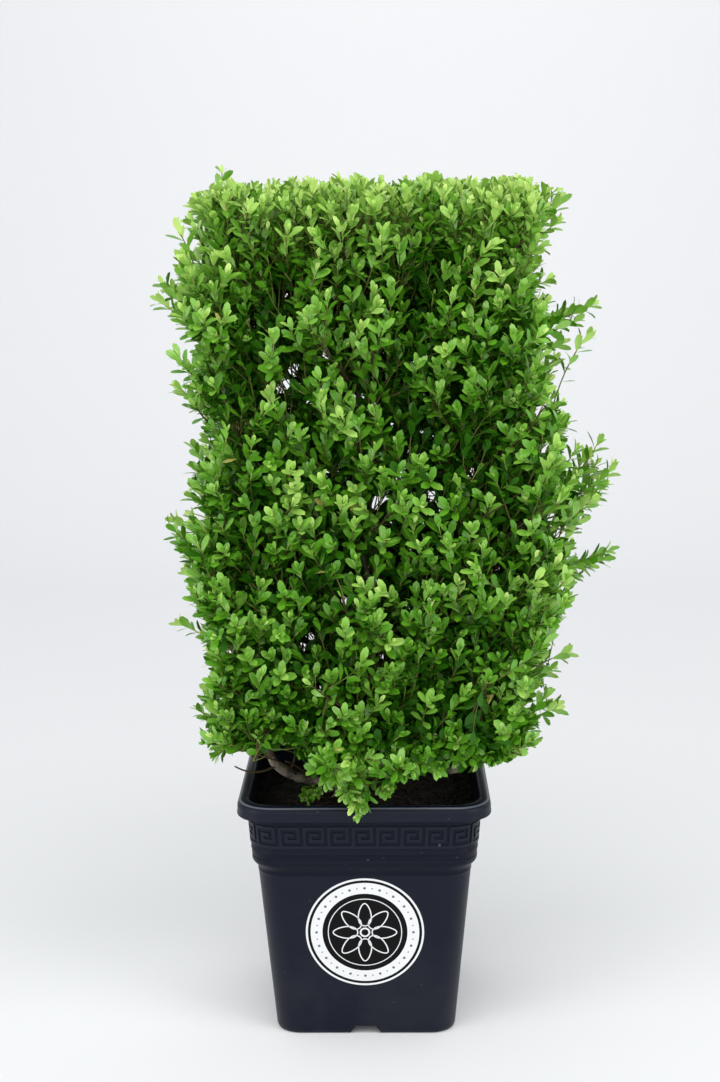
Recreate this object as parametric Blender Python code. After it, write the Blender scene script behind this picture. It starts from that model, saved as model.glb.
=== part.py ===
# Potted Japanese holly: a clipped evergreen shrub in a square plastic pot.
# Metres, Z up. The origin is the centre of the pot's flat underside, and the
# side seen first, with the badge, faces -Y.

import math
import random

import bmesh
import bpy
from mathutils import Vector

# Gap that keeps touching solids apart.
GAP = 0.0003

# Pot: heights from the ground, half widths across the flats.
POT_HEIGHT = 0.2304
POT_CORNER = 0.030
FOOT_HALF = 0.0832
FOOT_ROUND = 0.0035
BODY_TOP = 0.1630
BODY_TOP_HALF = 0.0978
COLLAR_FOOT = 0.1705
COLLAR_FOOT_HALF = 0.1026
SKIRT_FOOT = 0.2168
COLLAR_TOP_HALF = 0.1062
RIM_HALF = 0.1150
SKIRT_DRAFT = 0.0006
LIP_ROUND = 0.0022
LIP_WIDTH = 0.0110
WALL = 0.0024
FLOOR = 0.0110
NOTCH_HEIGHT = 0.0080
NOTCH_FOOT_WIDTH = 0.0290
NOTCH_TOP_WIDTH = 0.0180
NOTCH_DEPTH = 0.0300
DRAIN_RADIUS = 0.0060
DRAIN_PLACE = 0.0500

# Soil fills the pot to a little under the rim and rises to a flat middle.
SOIL_EDGE = 0.2010
SOIL_TOP = 0.2045
SOIL_PAD = 0.0360

# Trunk: a short foot that forks low, as on a nursery shrub.
TRUNK_HEIGHT = 0.0460
TRUNK_RADIUS = 0.0112
FLARE_RADIUS = 0.0160
FLARE_HEIGHT = 0.0140
ROOT_LOBES = 5
LOBE_DEPTH = 0.22
TRUNK_LEAN = 0.0030
TRUNK_PLACE = (-0.0140, 0.0020)

# Crown: a clipped block with rounded corners.
CROWN_LEFT = -0.1650
CROWN_RIGHT = 0.1720
CROWN_HALF_DEPTH = 0.1500
CROWN_FOOT = 0.2450
CROWN_TOP = 0.7700
CROWN_CORNER = 0.0500
POT_CLEAR = 0.0020

# Masses: upright columns of foliage, three across and two deep, each on its
# own bough. The columns lean a little, so their axes have a foot and a head.
COLUMNS = {
    "front_left": ((-0.098, -0.074), (-0.118, -0.078)),
    "front_centre": ((0.006, -0.084), (-0.004, -0.074)),
    "front_right": ((0.108, -0.070), (0.116, -0.080)),
    "back_left": ((-0.104, 0.078), (-0.108, 0.076)),
    "back_centre": ((-0.002, 0.074), (0.008, 0.080)),
    "back_right": ((0.104, 0.082), (0.120, 0.074)),
}
CELL_MARGIN = 0.0016
CORE_FOOT = 0.2680
CORE_TOP = 0.7460
CORE_RINGS = 9
CORE_SIDES = 10
CORE_DEPTH = 0.0250
CORE_LUMP = 0.1600
CORE_LEAST = 0.0120
CORE_CROWDING = 0.85
CORE_STEP = 0.0020
LIMB_ROOM = 0.0100

# Boughs leave the trunk's sides. For each: heading in degrees, height up the
# trunk as a share of it, slope at the foot.
BOUGH_FEET = {
    "front_left": (196, 0.24, 0.12),
    "front_centre": (270, 0.62, 0.70),
    "front_right": (330, 0.80, 0.60),
    "back_left": (142, 0.78, 0.70),
    "back_centre": (86, 0.56, 0.70),
    "back_right": (30, 0.42, 0.45),
}
BOUGH_FOOT_RADIUS = 0.0046
BOUGH_TIP_RADIUS = 0.0036
BOUGH_TIP_HEIGHT = 0.2620
BOUGH_TIP_SHARE = (0.86, 0.84)
BOUGH_BEND = 0.38
STEM_AIM = 0.0800
BOUGH_SIDES = 8
BOUGH_STEPS = 9

# Inside its mass a bough goes on as a stem that carries the twigs.
STEM_TOP = 0.7200
STEM_TOP_RADIUS = 0.0016
STEM_STEPS = 4
STEM_SIDES = 6
TWIG_SPACING = 0.0765
TWIG_JITTER = 0.0120
TWIG_SHY = 0.0060
TWIG_RISE = 0.7000
TWIG_FOOT_RADIUS = 0.0024
TWIG_TIP_RADIUS = 0.0012
TWIG_CLEAR = 0.0040
TWIG_ENDS = 0.0100
TWIG_CLEAR_AT = 0.8

# Leaves, larger than life so that few of them show a full crown. For each leaf
# on a twig: how far back from its tip, in leaf lengths, and its lean in radians.
LEAF_LENGTH = 0.0460
LEAF_WIDTH = 0.0260
LEAF_WIDEST = 0.58
LEAF_THICK = 0.0016
LEAF_SINK = 0.0010
LEAF_SEATS = ((0.0, 0.50), (0.18, 0.80), (0.36, 0.95), (0.58, 1.05))
LEAF_TRIES = 6
LEAF_REACH = 0.0140
LONG_REACH = 0.0800
LONG_LEAF = 0.98
LEAF_TURN = math.radians(137.5)
LEAF_TRY_TURN = 0.9
LIMB_CLEAR = 0.0010
SLIVER_SIZES = (0.00002, 0.00001, 0.000005, 0.000001)
UNION_TRIES = 5
FAULT_ROOM = 0.0004

# Furthest shoots that stand out of the clipped outline: which mass they
# belong to, then where the tip lies.
LONG_SHOOTS = [
    ("front_left", (-0.1190, -0.0500, 0.7940)),
    ("front_left", (-0.1880, -0.0450, 0.6960)),
    ("front_left", (-0.1760, -0.0500, 0.4880)),
    ("front_left", (-0.1740, -0.0450, 0.3650)),
    ("front_centre", (-0.0330, -0.1330, 0.2100)),
    ("front_right", (0.1790, -0.0500, 0.7790)),
    ("front_right", (0.2150, -0.0300, 0.6740)),
    ("front_right", (0.2290, -0.0350, 0.4900)),
    ("front_right", (0.2360, -0.0400, 0.4430)),
    ("front_right", (0.1960, -0.0350, 0.3560)),
    ("back_right", (0.1880, 0.0750, 0.6900)),
    ("back_right", (0.2080, 0.0600, 0.4200)),
    ("back_left", (-0.1500, 0.0700, 0.7850)),
    ("back_left", (-0.1800, 0.0600, 0.4300)),
]

COLOURS = {
    "pot": ((0.022, 0.025, 0.034), 0.55),
    "soil": ((0.022, 0.015, 0.010), 0.95),
    "bark": ((0.120, 0.090, 0.065), 0.80),
    "leaf": ((0.075, 0.170, 0.022), 0.45),
}


def clear_scene():
    for thing in list(bpy.data.objects):
        bpy.data.objects.remove(thing, do_unlink=True)
    for group in list(bpy.data.collections):
        bpy.data.collections.remove(group)
    for store in (bpy.data.meshes, bpy.data.materials, bpy.data.curves):
        for block in list(store):
            store.remove(block)


def new_collection(name):
    group = bpy.data.collections.new(name)
    bpy.context.scene.collection.children.link(group)
    return group


def make_material(name, finish):
    colour, roughness = COLOURS[finish]
    material = bpy.data.materials.new(name)
    material.use_nodes = True
    shader = material.node_tree.nodes["Principled BSDF"]
    shader.inputs["Base Color"].default_value = (*colour, 1.0)
    shader.inputs["Roughness"].default_value = roughness
    shader.inputs["Metallic"].default_value = 0.0
    material.diffuse_color = (*colour, 1.0)
    return material


def finish_mesh(name, bm, group, material=None):
    bmesh.ops.recalc_face_normals(bm, faces=bm.faces)
    mesh = bpy.data.meshes.new(name)
    bm.to_mesh(mesh)
    bm.free()
    thing = bpy.data.objects.new(name, mesh)
    group.objects.link(thing)
    if material:
        mesh.materials.append(material)
    return thing


def apply_modifiers(thing):
    bpy.context.view_layer.update()
    graph = bpy.context.evaluated_depsgraph_get()
    mesh = bpy.data.meshes.new_from_object(thing.evaluated_get(graph))
    thing.modifiers.clear()
    old = thing.data
    thing.data = mesh
    mesh.name = thing.name
    bpy.data.meshes.remove(old)


def loft(bm, rings):
    # Joins closed rings of equal count and caps both ends.
    rows = [[bm.verts.new(point) for point in ring] for ring in rings]
    count = len(rows[0])
    for low, high in zip(rows, rows[1:]):
        for i in range(count):
            j = (i + 1) % count
            bm.faces.new((low[i], low[j], high[j], high[i]))
    bm.faces.new(list(reversed(rows[0])))
    bm.faces.new(rows[-1])


def rounded_square(half, corner, height, steps=3):
    points = []
    inner = half - corner
    for turn, (sx, sy) in enumerate(((1, 1), (-1, 1), (-1, -1), (1, -1))):
        for step in range(steps + 1):
            angle = math.pi / 2 * (turn + step / steps)
            x = sx * inner + corner * math.cos(angle)
            y = sy * inner + corner * math.sin(angle)
            points.append((x, y, height))
    return points


def body_half(height):
    return FOOT_HALF + (BODY_TOP_HALF - FOOT_HALF) * height / BODY_TOP


def pot_outline():
    # Half width and height, up the outside, over the lip and down inside.
    inner_rim = RIM_HALF - LIP_WIDTH
    outside = [
        (FOOT_HALF - FOOT_ROUND, 0.0),
        (body_half(FOOT_ROUND) - 0.3 * FOOT_ROUND, 0.3 * FOOT_ROUND),
        (body_half(FOOT_ROUND), FOOT_ROUND),
        (BODY_TOP_HALF, BODY_TOP),
        (0.4 * BODY_TOP_HALF + 0.6 * COLLAR_FOOT_HALF, 0.6 * BODY_TOP + 0.4 * COLLAR_FOOT),
        (COLLAR_FOOT_HALF, COLLAR_FOOT),
        (COLLAR_TOP_HALF, SKIRT_FOOT),
        (RIM_HALF - SKIRT_DRAFT, SKIRT_FOOT),
        (RIM_HALF, POT_HEIGHT - LIP_ROUND),
        (RIM_HALF - 0.3 * LIP_ROUND, POT_HEIGHT - 0.3 * LIP_ROUND),
        (RIM_HALF - LIP_ROUND, POT_HEIGHT),
    ]
    inside = [
        (inner_rim + LIP_ROUND, POT_HEIGHT),
        (inner_rim, POT_HEIGHT - LIP_ROUND),
        (COLLAR_TOP_HALF - WALL, SKIRT_FOOT - 2 * WALL),
        (COLLAR_FOOT_HALF - WALL, COLLAR_FOOT),
        (BODY_TOP_HALF - WALL, BODY_TOP - WALL),
        (body_half(FLOOR) - WALL, FLOOR),
    ]
    return outside, inside


def build_pot(group, cutters):
    outside, inside = pot_outline()
    bm = bmesh.new()
    rings = []
    for half, height in outside + inside:
        rings.append(rounded_square(half, POT_CORNER * half / RIM_HALF, height))
    loft(bm, rings)
    pot = finish_mesh("pot", bm, group, make_material("pot_plastic", "pot"))
    for turn in range(4):
        cut_by(pot, notch_cutter(turn, cutters))
    for sx in (-1, 1):
        for sy in (-1, 1):
            cut_by(pot, drain_cutter(sx * DRAIN_PLACE, sy * DRAIN_PLACE, cutters))
    apply_modifiers(pot)
    return pot


def notch_cutter(turn, cutters):
    # A wedge that opens a drainage notch in the middle of one side's foot.
    bm = bmesh.new()
    bmesh.ops.create_cube(bm, size=1.0)
    for vert in bm.verts:
        top = vert.co.z > 0
        width = NOTCH_TOP_WIDTH if top else NOTCH_FOOT_WIDTH * 1.1
        vert.co.x *= width
        vert.co.y = -FOOT_HALF + (NOTCH_DEPTH if vert.co.y > 0 else -NOTCH_HEIGHT)
        vert.co.z = NOTCH_HEIGHT if top else -0.1 * NOTCH_HEIGHT
    cutter = finish_mesh(f"cut_notch_{turn + 1}", bm, cutters)
    cutter.rotation_euler.z = turn * math.pi / 2
    return cutter


def drain_cutter(x, y, cutters):
    bm = bmesh.new()
    bmesh.ops.create_cone(
        bm, cap_ends=True, segments=12, radius1=DRAIN_RADIUS, radius2=DRAIN_RADIUS, depth=4 * FLOOR
    )
    bmesh.ops.translate(bm, verts=bm.verts, vec=(x, y, 0))
    return finish_mesh("cut_drain", bm, cutters)


def cut_by(thing, cutter):
    cut = thing.modifiers.new(cutter.name, "BOOLEAN")
    cut.operation = "DIFFERENCE"
    cut.solver = "EXACT"
    cut.object = cutter
    cutter.hide_render = True
    cutter.display_type = "WIRE"


def build_soil(group):
    def wall_half(height):
        if height <= BODY_TOP - WALL:
            return body_half(height) - WALL
        if height <= COLLAR_FOOT:
            part = (height - BODY_TOP + WALL) / (COLLAR_FOOT - BODY_TOP + WALL)
            return BODY_TOP_HALF - WALL + part * (COLLAR_FOOT_HALF - BODY_TOP_HALF)
        part = (height - COLLAR_FOOT) / (SKIRT_FOOT - 2 * WALL - COLLAR_FOOT)
        return COLLAR_FOOT_HALF - WALL + part * (COLLAR_TOP_HALF - COLLAR_FOOT_HALF)

    levels = [FLOOR + GAP, BODY_TOP - WALL, COLLAR_FOOT, SOIL_EDGE]
    rings = []
    for level in levels:
        half = wall_half(level) - 1.2 * GAP
        corner = POT_CORNER * (half + WALL) / RIM_HALF
        rings.append(rounded_square(half, corner, level))
    top = wall_half(SOIL_EDGE)
    for part in (0.75, 0.45):
        rise = SOIL_TOP - (SOIL_TOP - SOIL_EDGE) * part * part
        rings.append(rounded_square(top * part, POT_CORNER * part, rise))
    rings.append(rounded_square(SOIL_PAD, 0.6 * SOIL_PAD, SOIL_TOP))
    bm = bmesh.new()
    loft(bm, rings)
    return finish_mesh("soil", bm, group, make_material("potting_soil", "soil"))


def trunk_centre(height):
    part = (height - SOIL_TOP) / TRUNK_HEIGHT
    x, y = TRUNK_PLACE
    return Vector((x + TRUNK_LEAN * part, y + 0.5 * TRUNK_LEAN * part, height))


def trunk_radius(height, angle):
    rise = height - SOIL_TOP - GAP
    flare = max(0.0, 1.0 - rise / FLARE_HEIGHT) ** 2
    lobe = 1.0 + LOBE_DEPTH * flare * math.cos(ROOT_LOBES * angle)
    return (TRUNK_RADIUS + (FLARE_RADIUS - TRUNK_RADIUS) * flare) * lobe


def build_trunk(group):
    levels = [0.0, 0.25, 0.5, 0.8, 1.2, 2.0]
    heights = [SOIL_TOP + GAP + level * FLARE_HEIGHT for level in levels]
    heights.append(SOIL_TOP + TRUNK_HEIGHT)
    rings = []
    count = 2 * ROOT_LOBES
    for height in heights:
        centre = trunk_centre(height)
        ring = []
        for i in range(count):
            angle = 2 * math.pi * i / count
            radius = trunk_radius(height, angle)
            ring.append(centre + Vector((radius * math.cos(angle), radius * math.sin(angle), 0)))
        rings.append(ring)
    bm = bmesh.new()
    loft(bm, rings)
    return finish_mesh("trunk", bm, group, make_material("bark_trunk", "bark"))


def bezier(p0, p1, p2, p3, t):
    s = 1 - t
    return s * s * s * p0 + 3 * s * s * t * p1 + 3 * s * t * t * p2 + t * t * t * p3


def column_axis(name, height):
    # The middle of a mass at one height.
    foot, head = COLUMNS[name]
    part = (height - CROWN_FOOT) / (CROWN_TOP - CROWN_FOOT)
    return Vector((foot[0] + (head[0] - foot[0]) * part, foot[1] + (head[1] - foot[1]) * part, height))


def plan_boughs():
    boughs = {}
    for name, (heading, rise, slope) in BOUGH_FEET.items():
        heading = math.radians(heading)
        out = Vector((math.cos(heading), math.sin(heading), 0))
        height = SOIL_TOP + TRUNK_HEIGHT * rise
        radius = trunk_radius(height - BOUGH_FOOT_RADIUS, heading)
        foot = trunk_centre(height) + out * (radius + GAP)
        axis = column_axis(name, BOUGH_TIP_HEIGHT)
        tip = Vector((axis.x * BOUGH_TIP_SHARE[0], axis.y * BOUGH_TIP_SHARE[1], BOUGH_TIP_HEIGHT))
        tip_way = (column_axis(name, BOUGH_TIP_HEIGHT + STEM_AIM) - tip).normalized()
        bend = (tip - foot).length * BOUGH_BEND
        start = foot + (out + Vector((0, 0, slope))).normalized() * bend
        end = tip - tip_way * bend
        parts = [i / BOUGH_STEPS for i in range(BOUGH_STEPS + 1)]
        boughs[name] = {
            "points": [bezier(foot, start, end, tip, part) for part in parts],
            "sizes": [BOUGH_FOOT_RADIUS + (BOUGH_TIP_RADIUS - BOUGH_FOOT_RADIUS) * part for part in parts],
            "foot_plane": out,
            "tip_way": tip_way,
        }
    return boughs


def slide_ring(ring, centre, way, plane):
    # Cuts a tube's end along a plane instead of square across.
    return [corner + way * ((centre - corner).dot(plane) / way.dot(plane)) for corner in ring]


def tube_rings(points, sizes, sides, foot_plane=None, tip_plane=None):
    rings = []
    across = None
    for i, point in enumerate(points):
        ahead = points[min(i + 1, len(points) - 1)]
        behind = points[max(i - 1, 0)]
        way = (ahead - behind).normalized()
        if across is None:
            across = way.orthogonal()
        across = (across - way * across.dot(way)).normalized()
        third = way.cross(across)
        ring = []
        for k in range(sides):
            angle = 2 * math.pi * (k + 0.5) / sides
            ring.append(point + sizes[i] * (math.cos(angle) * across + math.sin(angle) * third))
        if i == 0 and foot_plane:
            ring = slide_ring(ring, point, way, foot_plane)
        if i == len(points) - 1 and tip_plane:
            ring = slide_ring(ring, point, way, tip_plane)
        rings.append(ring)
    return rings


def add_tube(name, points, sizes, sides, group, foot_plane=None, tip_plane=None):
    bm = bmesh.new()
    loft(bm, tube_rings(points, sizes, sides, foot_plane, tip_plane))
    return finish_mesh(name, bm, group)


def build_bough(name, bough, group):
    points = bough["points"]
    sizes = bough["sizes"]
    ends = (bough["foot_plane"], bough["tip_way"])
    limb = add_tube(f"bough_{name}", points, sizes, BOUGH_SIDES, group, *ends)
    limb.data.materials.append(make_material(f"bark_{name}", "bark"))


def crown_depth(point):
    # Distance from the clipped block's surface, negative inside.
    middle = Vector(((CROWN_LEFT + CROWN_RIGHT) / 2, 0, (CROWN_FOOT + CROWN_TOP) / 2))
    half = Vector(((CROWN_RIGHT - CROWN_LEFT) / 2, CROWN_HALF_DEPTH, (CROWN_TOP - CROWN_FOOT) / 2))
    away = [abs(point[i] - middle[i]) - (half[i] - CROWN_CORNER) for i in range(3)]
    outer = Vector([max(value, 0.0) for value in away]).length
    return outer + min(max(away), 0.0) - CROWN_CORNER


def cell_depth(point, name):
    # Distance past the nearest face shared with another mass, negative inside.
    own = column_axis(name, point.z)
    worst = -1.0
    for other in COLUMNS:
        if other != name:
            axis = column_axis(other, point.z)
            between = axis - own
            worst = max(worst, (point - (own + axis) / 2).dot(between) / between.length)
    return worst


def limb_gap(point, boughs):
    near = 1.0
    for bough in boughs.values():
        points = bough["points"]
        for i in range(len(points) - 1):
            step = points[i + 1] - points[i]
            part = max(0.0, min(1.0, (point - points[i]).dot(step) / step.length_squared))
            near = min(near, (points[i] + step * part - point).length - bough["sizes"][i])
    return near


def pot_gap(point):
    # Distance from the pot's outer box or, inside the rim, from the soil.
    aside = max(abs(point.x), abs(point.y))
    if aside < RIM_HALF - LIP_WIDTH:
        return point.z - SOIL_TOP
    return max(aside - RIM_HALF, point.z - POT_HEIGHT)


def core_reach(name, axis, way, boughs):
    # How far the dark middle of a mass runs out from its axis.
    reach = 0.0
    while reach < CROWN_HALF_DEPTH:
        point = axis + way * (reach + CORE_STEP)
        if crown_depth(point) > -CORE_DEPTH or cell_depth(point, name) > -CELL_MARGIN:
            break
        if limb_gap(point, boughs) < LIMB_ROOM:
            break
        reach += CORE_STEP
    return reach


def build_core(name, boughs, group):
    rng = random.Random(f"core {name}")
    rings = []
    for i in range(CORE_RINGS):
        part = i / (CORE_RINGS - 1)
        rise = (0.5 - 0.5 * math.cos(math.pi * part)) ** CORE_CROWDING
        height = CORE_FOOT + (CORE_TOP - CORE_FOOT) * rise
        axis = column_axis(name, height)
        ring = []
        for k in range(CORE_SIDES):
            angle = 2 * math.pi * (k + 0.5 * (i % 2)) / CORE_SIDES
            way = Vector((math.cos(angle), math.sin(angle), 0))
            reach = core_reach(name, axis, way, boughs) * (1 - CORE_LUMP * rng.random())
            ring.append(axis + way * max(reach, CORE_LEAST))
        rings.append(ring)
    bm = bmesh.new()
    loft(bm, rings)
    return finish_mesh(f"core_{name}", bm, group)


def leaf_points(root, way, twig_way, size):
    # Root, tip, both edges at the widest place, then the upper and lower rib.
    # The blade's upper side faces along the twig.
    side = way.cross(twig_way)
    if side.length < 0.1:
        side = way.orthogonal()
    side.normalize()
    up = side.cross(way)
    middle = root + way * LEAF_LENGTH * size * LEAF_WIDEST
    half = LEAF_WIDTH * size / 2
    return [
        root,
        root + way * LEAF_LENGTH * size,
        middle + side * half,
        middle - side * half,
        middle + up * LEAF_THICK / 2,
        middle - up * LEAF_THICK / 2,
    ]


def add_leaf(points, group):
    bm = bmesh.new()
    root, tip, right, left, upper, lower = [bm.verts.new(point) for point in points]
    ring = (root, right, tip, left)
    for i in range(4):
        bm.faces.new((ring[i], ring[(i + 1) % 4], upper))
        bm.faces.new((ring[(i + 1) % 4], ring[i], lower))
    return finish_mesh("leaf", bm, group)


def point_fits(point, name, boughs, reach):
    if crown_depth(point) > reach or cell_depth(point, name) > -CELL_MARGIN:
        return False
    if pot_gap(point) < POT_CLEAR:
        return False
    return limb_gap(point, boughs) > LIMB_CLEAR


def leaf_fits(points, name, boughs, reach):
    root, tip, right, left = points[:4]
    halfway = [(root + right) / 2, (root + left) / 2, (tip + right) / 2, (tip + left) / 2]
    return all(point_fits(test, name, boughs, reach) for test in [tip, right, left] + halfway)


def crown_face_points(rng):
    # Staggered rows of points on the block's sides and top.
    middle = Vector(((CROWN_LEFT + CROWN_RIGHT) / 2, 0, (CROWN_FOOT + CROWN_TOP) / 2))
    x = Vector(((CROWN_RIGHT - CROWN_LEFT) / 2, 0, 0))
    y = Vector((0, CROWN_HALF_DEPTH, 0))
    z = Vector((0, 0, (CROWN_TOP - CROWN_FOOT) / 2))
    points = []
    for out, across, up in ((-y, x, z), (y, -x, z), (-x, -y, z), (x, y, z), (z, x, y)):
        rows = round(2 * up.length / TWIG_SPACING)
        places = round(2 * across.length / TWIG_SPACING)
        for row in range(rows):
            for place in range(places):
                u = (place + 0.5 + 0.25 * (-1) ** row) / places * 2 - 1
                v = (row + 0.5) / rows * 2 - 1
                shift = Vector([rng.uniform(-TWIG_JITTER, TWIG_JITTER) for _ in range(3)])
                points.append(onto_crown(middle + out + across * u + up * v + shift))
    return points


def onto_crown(point):
    # Moves a point along the block's own slope until it lies near the surface.
    step = 0.001
    ways = [Vector((step, 0, 0)), Vector((0, step, 0)), Vector((0, 0, step))]
    for _ in range(6):
        depth = crown_depth(point)
        slope = Vector([crown_depth(point + way) - depth for way in ways])
        if slope.length > 0:
            point = point - slope.normalized() * (depth + TWIG_SHY)
    return point


def twig_targets(name, faces):
    targets = [(point, False) for point in faces if cell_depth(point, name) < -TWIG_CLEAR]
    for owner, place in LONG_SHOOTS:
        if owner == name:
            targets.append((Vector(place), True))
    return targets


def build_mass(name, boughs, faces, group, scratch):
    rng = random.Random(f"twigs {name}")
    bough = boughs[name]
    core = build_core(name, boughs, group)
    start = bough["points"][-1] + bough["tip_way"] * GAP
    stem = [start]
    sizes = [BOUGH_TIP_RADIUS]
    for i in range(1, STEM_STEPS + 1):
        part = i / STEM_STEPS
        stem.append(column_axis(name, start.z + (STEM_TOP - start.z) * part))
        sizes.append(BOUGH_TIP_RADIUS + (STEM_TOP_RADIUS - BOUGH_TIP_RADIUS) * part)
    add_tube("stem", stem, sizes, STEM_SIDES, scratch, bough["tip_way"])
    for target, long_shoot in twig_targets(name, faces):
        grow_twig(name, target, long_shoot, start.z, boughs, rng, scratch)
    join_mass(core, scratch)
    core.name = f"foliage_{name}"
    core.data.name = core.name
    core.data.materials.append(make_material(f"leaf_{name}", "leaf"))


def grow_twig(name, target, long_shoot, lowest, boughs, rng, scratch):
    # A twig leaves the stem below its target and ends in a spray of leaves.
    aside = (target - column_axis(name, target.z)).length
    height = min(max(target.z - TWIG_RISE * aside, lowest + TWIG_ENDS), STEM_TOP - TWIG_ENDS)
    origin = column_axis(name, height) + Vector([rng.uniform(-1, 1) * TWIG_FOOT_RADIUS for _ in range(3)])
    tip = target
    reach = LEAF_REACH
    if long_shoot:
        tip = target - (target - origin).normalized() * LEAF_LENGTH * LONG_LEAF
        reach = LONG_REACH
    near_tip = origin.lerp(tip, TWIG_CLEAR_AT)
    if not point_fits(tip, name, boughs, reach) or limb_gap(near_tip, boughs) < TWIG_CLEAR:
        return
    add_tube("twig", [origin, tip], [TWIG_FOOT_RADIUS, TWIG_TIP_RADIUS], 3, scratch)
    way = (tip - origin).normalized()
    side = way.orthogonal().normalized()
    across = way.cross(side)
    spin = rng.uniform(0, 2 * math.pi)
    for i, (back, tilt) in enumerate(LEAF_SEATS):
        root = tip - way * (back * LEAF_LENGTH + 0.002)
        # A leaf that would leave its mass's space is turned, then left out.
        for turn in range(LEAF_TRIES):
            angle = spin + i * LEAF_TURN + turn * LEAF_TRY_TURN
            lean = tilt * rng.uniform(0.85, 1.1)
            if i == 0 and long_shoot:
                lean = 0.0
            out = side * math.cos(angle) + across * math.sin(angle)
            leaf_way = way * math.cos(lean) + out * math.sin(lean)
            shape = leaf_points(root - leaf_way * LEAF_SINK, leaf_way, way, rng.uniform(0.88, 1.08))
            if leaf_fits(shape, name, boughs, reach):
                add_leaf(shape, scratch)
                break


def join_mass(core, scratch):
    # One union of the core with all its pieces. Where the skin it gives isn't
    # closed, the pieces at fault are left out and the union is made again.
    solvers = ["EXACT"] * UNION_TRIES + ["MANIFOLD"]
    for solver in solvers:
        union = core.modifiers.new("join", "BOOLEAN")
        union.operation = "UNION"
        union.operand_type = "COLLECTION"
        union.collection = scratch
        union.solver = solver
        bpy.context.view_layer.update()
        graph = bpy.context.evaluated_depsgraph_get()
        joined = bpy.data.meshes.new_from_object(core.evaluated_get(graph))
        core.modifiers.clear()
        faults = tidy_union(joined)
        if not faults:
            break
        for piece in [thing for thing in scratch.objects if not thing.name.startswith("stem")]:
            if any(in_box(piece, fault) for fault in faults):
                remove_with_mesh(piece)
    plain = core.data
    core.data = joined
    bpy.data.meshes.remove(plain)
    for thing in list(scratch.objects):
        remove_with_mesh(thing)


def in_box(thing, point):
    low = [min(corner[i] for corner in thing.bound_box) - FAULT_ROOM for i in range(3)]
    high = [max(corner[i] for corner in thing.bound_box) + FAULT_ROOM for i in range(3)]
    return all(low[i] < point[i] < high[i] for i in range(3))


def remove_with_mesh(thing):
    mesh = thing.data
    bpy.data.objects.remove(thing, do_unlink=True)
    bpy.data.meshes.remove(mesh)


def keep_largest(bm):
    # Drops loose scraps and the skins of hollows that the union sealed.
    left = set(bm.verts)
    best = set()
    while left:
        stack = [left.pop()]
        found = set(stack)
        while stack:
            for edge in stack.pop().link_edges:
                for vert in edge.verts:
                    if vert in left:
                        left.discard(vert)
                        found.add(vert)
                        stack.append(vert)
        if len(found) > len(best):
            best = found
    bmesh.ops.delete(bm, geom=[vert for vert in bm.verts if vert not in best], context="VERTS")


def tidy_union(mesh):
    # Slivers are collapsed by the first distance that leaves a closed skin.
    # Gives back the places where the skin stays open.
    faults = []
    for distance in SLIVER_SIZES:
        bm = bmesh.new()
        bm.from_mesh(mesh)
        bmesh.ops.triangulate(bm, faces=bm.faces)
        bmesh.ops.dissolve_degenerate(bm, dist=distance, edges=bm.edges)
        bmesh.ops.triangulate(bm, faces=bm.faces)
        keep_largest(bm)
        faults = [edge.verts[0].co.copy() for edge in bm.edges if len(edge.link_faces) != 2]
        if not faults:
            bm.to_mesh(mesh)
        bm.free()
        if not faults:
            break
    return faults


def build():
    clear_scene()
    group = new_collection("potted_japanese_holly")
    cutters = new_collection("cutters")
    scratch = new_collection("mass_pieces")
    build_pot(group, cutters)
    build_soil(group)
    build_trunk(group)
    boughs = plan_boughs()
    for name, bough in boughs.items():
        build_bough(name, bough, group)
    faces = crown_face_points(random.Random(23))
    for name in COLUMNS:
        build_mass(name, boughs, faces, group, scratch)
    bpy.data.collections.remove(scratch)


build()
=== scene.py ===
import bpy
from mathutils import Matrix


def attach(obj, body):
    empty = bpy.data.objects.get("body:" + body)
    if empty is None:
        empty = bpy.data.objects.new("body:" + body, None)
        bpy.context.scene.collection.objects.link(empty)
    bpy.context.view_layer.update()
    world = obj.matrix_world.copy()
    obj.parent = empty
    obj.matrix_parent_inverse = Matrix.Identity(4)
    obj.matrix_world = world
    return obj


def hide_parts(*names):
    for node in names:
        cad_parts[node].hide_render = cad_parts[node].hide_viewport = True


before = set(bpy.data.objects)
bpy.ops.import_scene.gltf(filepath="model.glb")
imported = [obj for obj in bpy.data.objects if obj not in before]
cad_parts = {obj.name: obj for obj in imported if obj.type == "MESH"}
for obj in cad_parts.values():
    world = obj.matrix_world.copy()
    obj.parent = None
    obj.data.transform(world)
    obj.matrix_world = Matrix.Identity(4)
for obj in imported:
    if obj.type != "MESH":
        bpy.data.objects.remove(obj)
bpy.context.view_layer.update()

import math

import bpy
import numpy as np
from mathutils import Euler, Matrix, Vector, noise


def leaveEdit():
    bpy.ops.object.mode_set(mode="OBJECT")


def clearPick():
    # nothing stays selected, so an operator touches only what comes next
    if bpy.context.object and bpy.context.object.mode != "OBJECT":
        leaveEdit()
    bpy.ops.object.select_all(action="DESELECT")


def pickOnly(*pieces):
    # the first one is the active one
    clearPick()
    for piece in pieces:
        piece.select_set(True)
    bpy.context.view_layer.objects.active = pieces[0]


def named(name):
    # the piece that an operator has just made
    bpy.context.object.name = name
    return bpy.context.object


def link(name, data):
    piece = bpy.data.objects.new(name, data)
    bpy.context.scene.collection.objects.link(piece)
    return piece


def bakePlace(piece):
    # the place goes into the mesh, as a CAD node has it
    pickOnly(piece)
    bpy.ops.object.transform_apply(location=True, rotation=True, scale=True)


def editAll(piece):
    pickOnly(piece)
    bpy.ops.object.mode_set(mode="EDIT")
    bpy.ops.mesh.select_all(action="SELECT")


def extrudeUp(height):
    bpy.ops.mesh.extrude_region_move(TRANSFORM_OT_translate={"value": (0, 0, height)})


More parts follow.
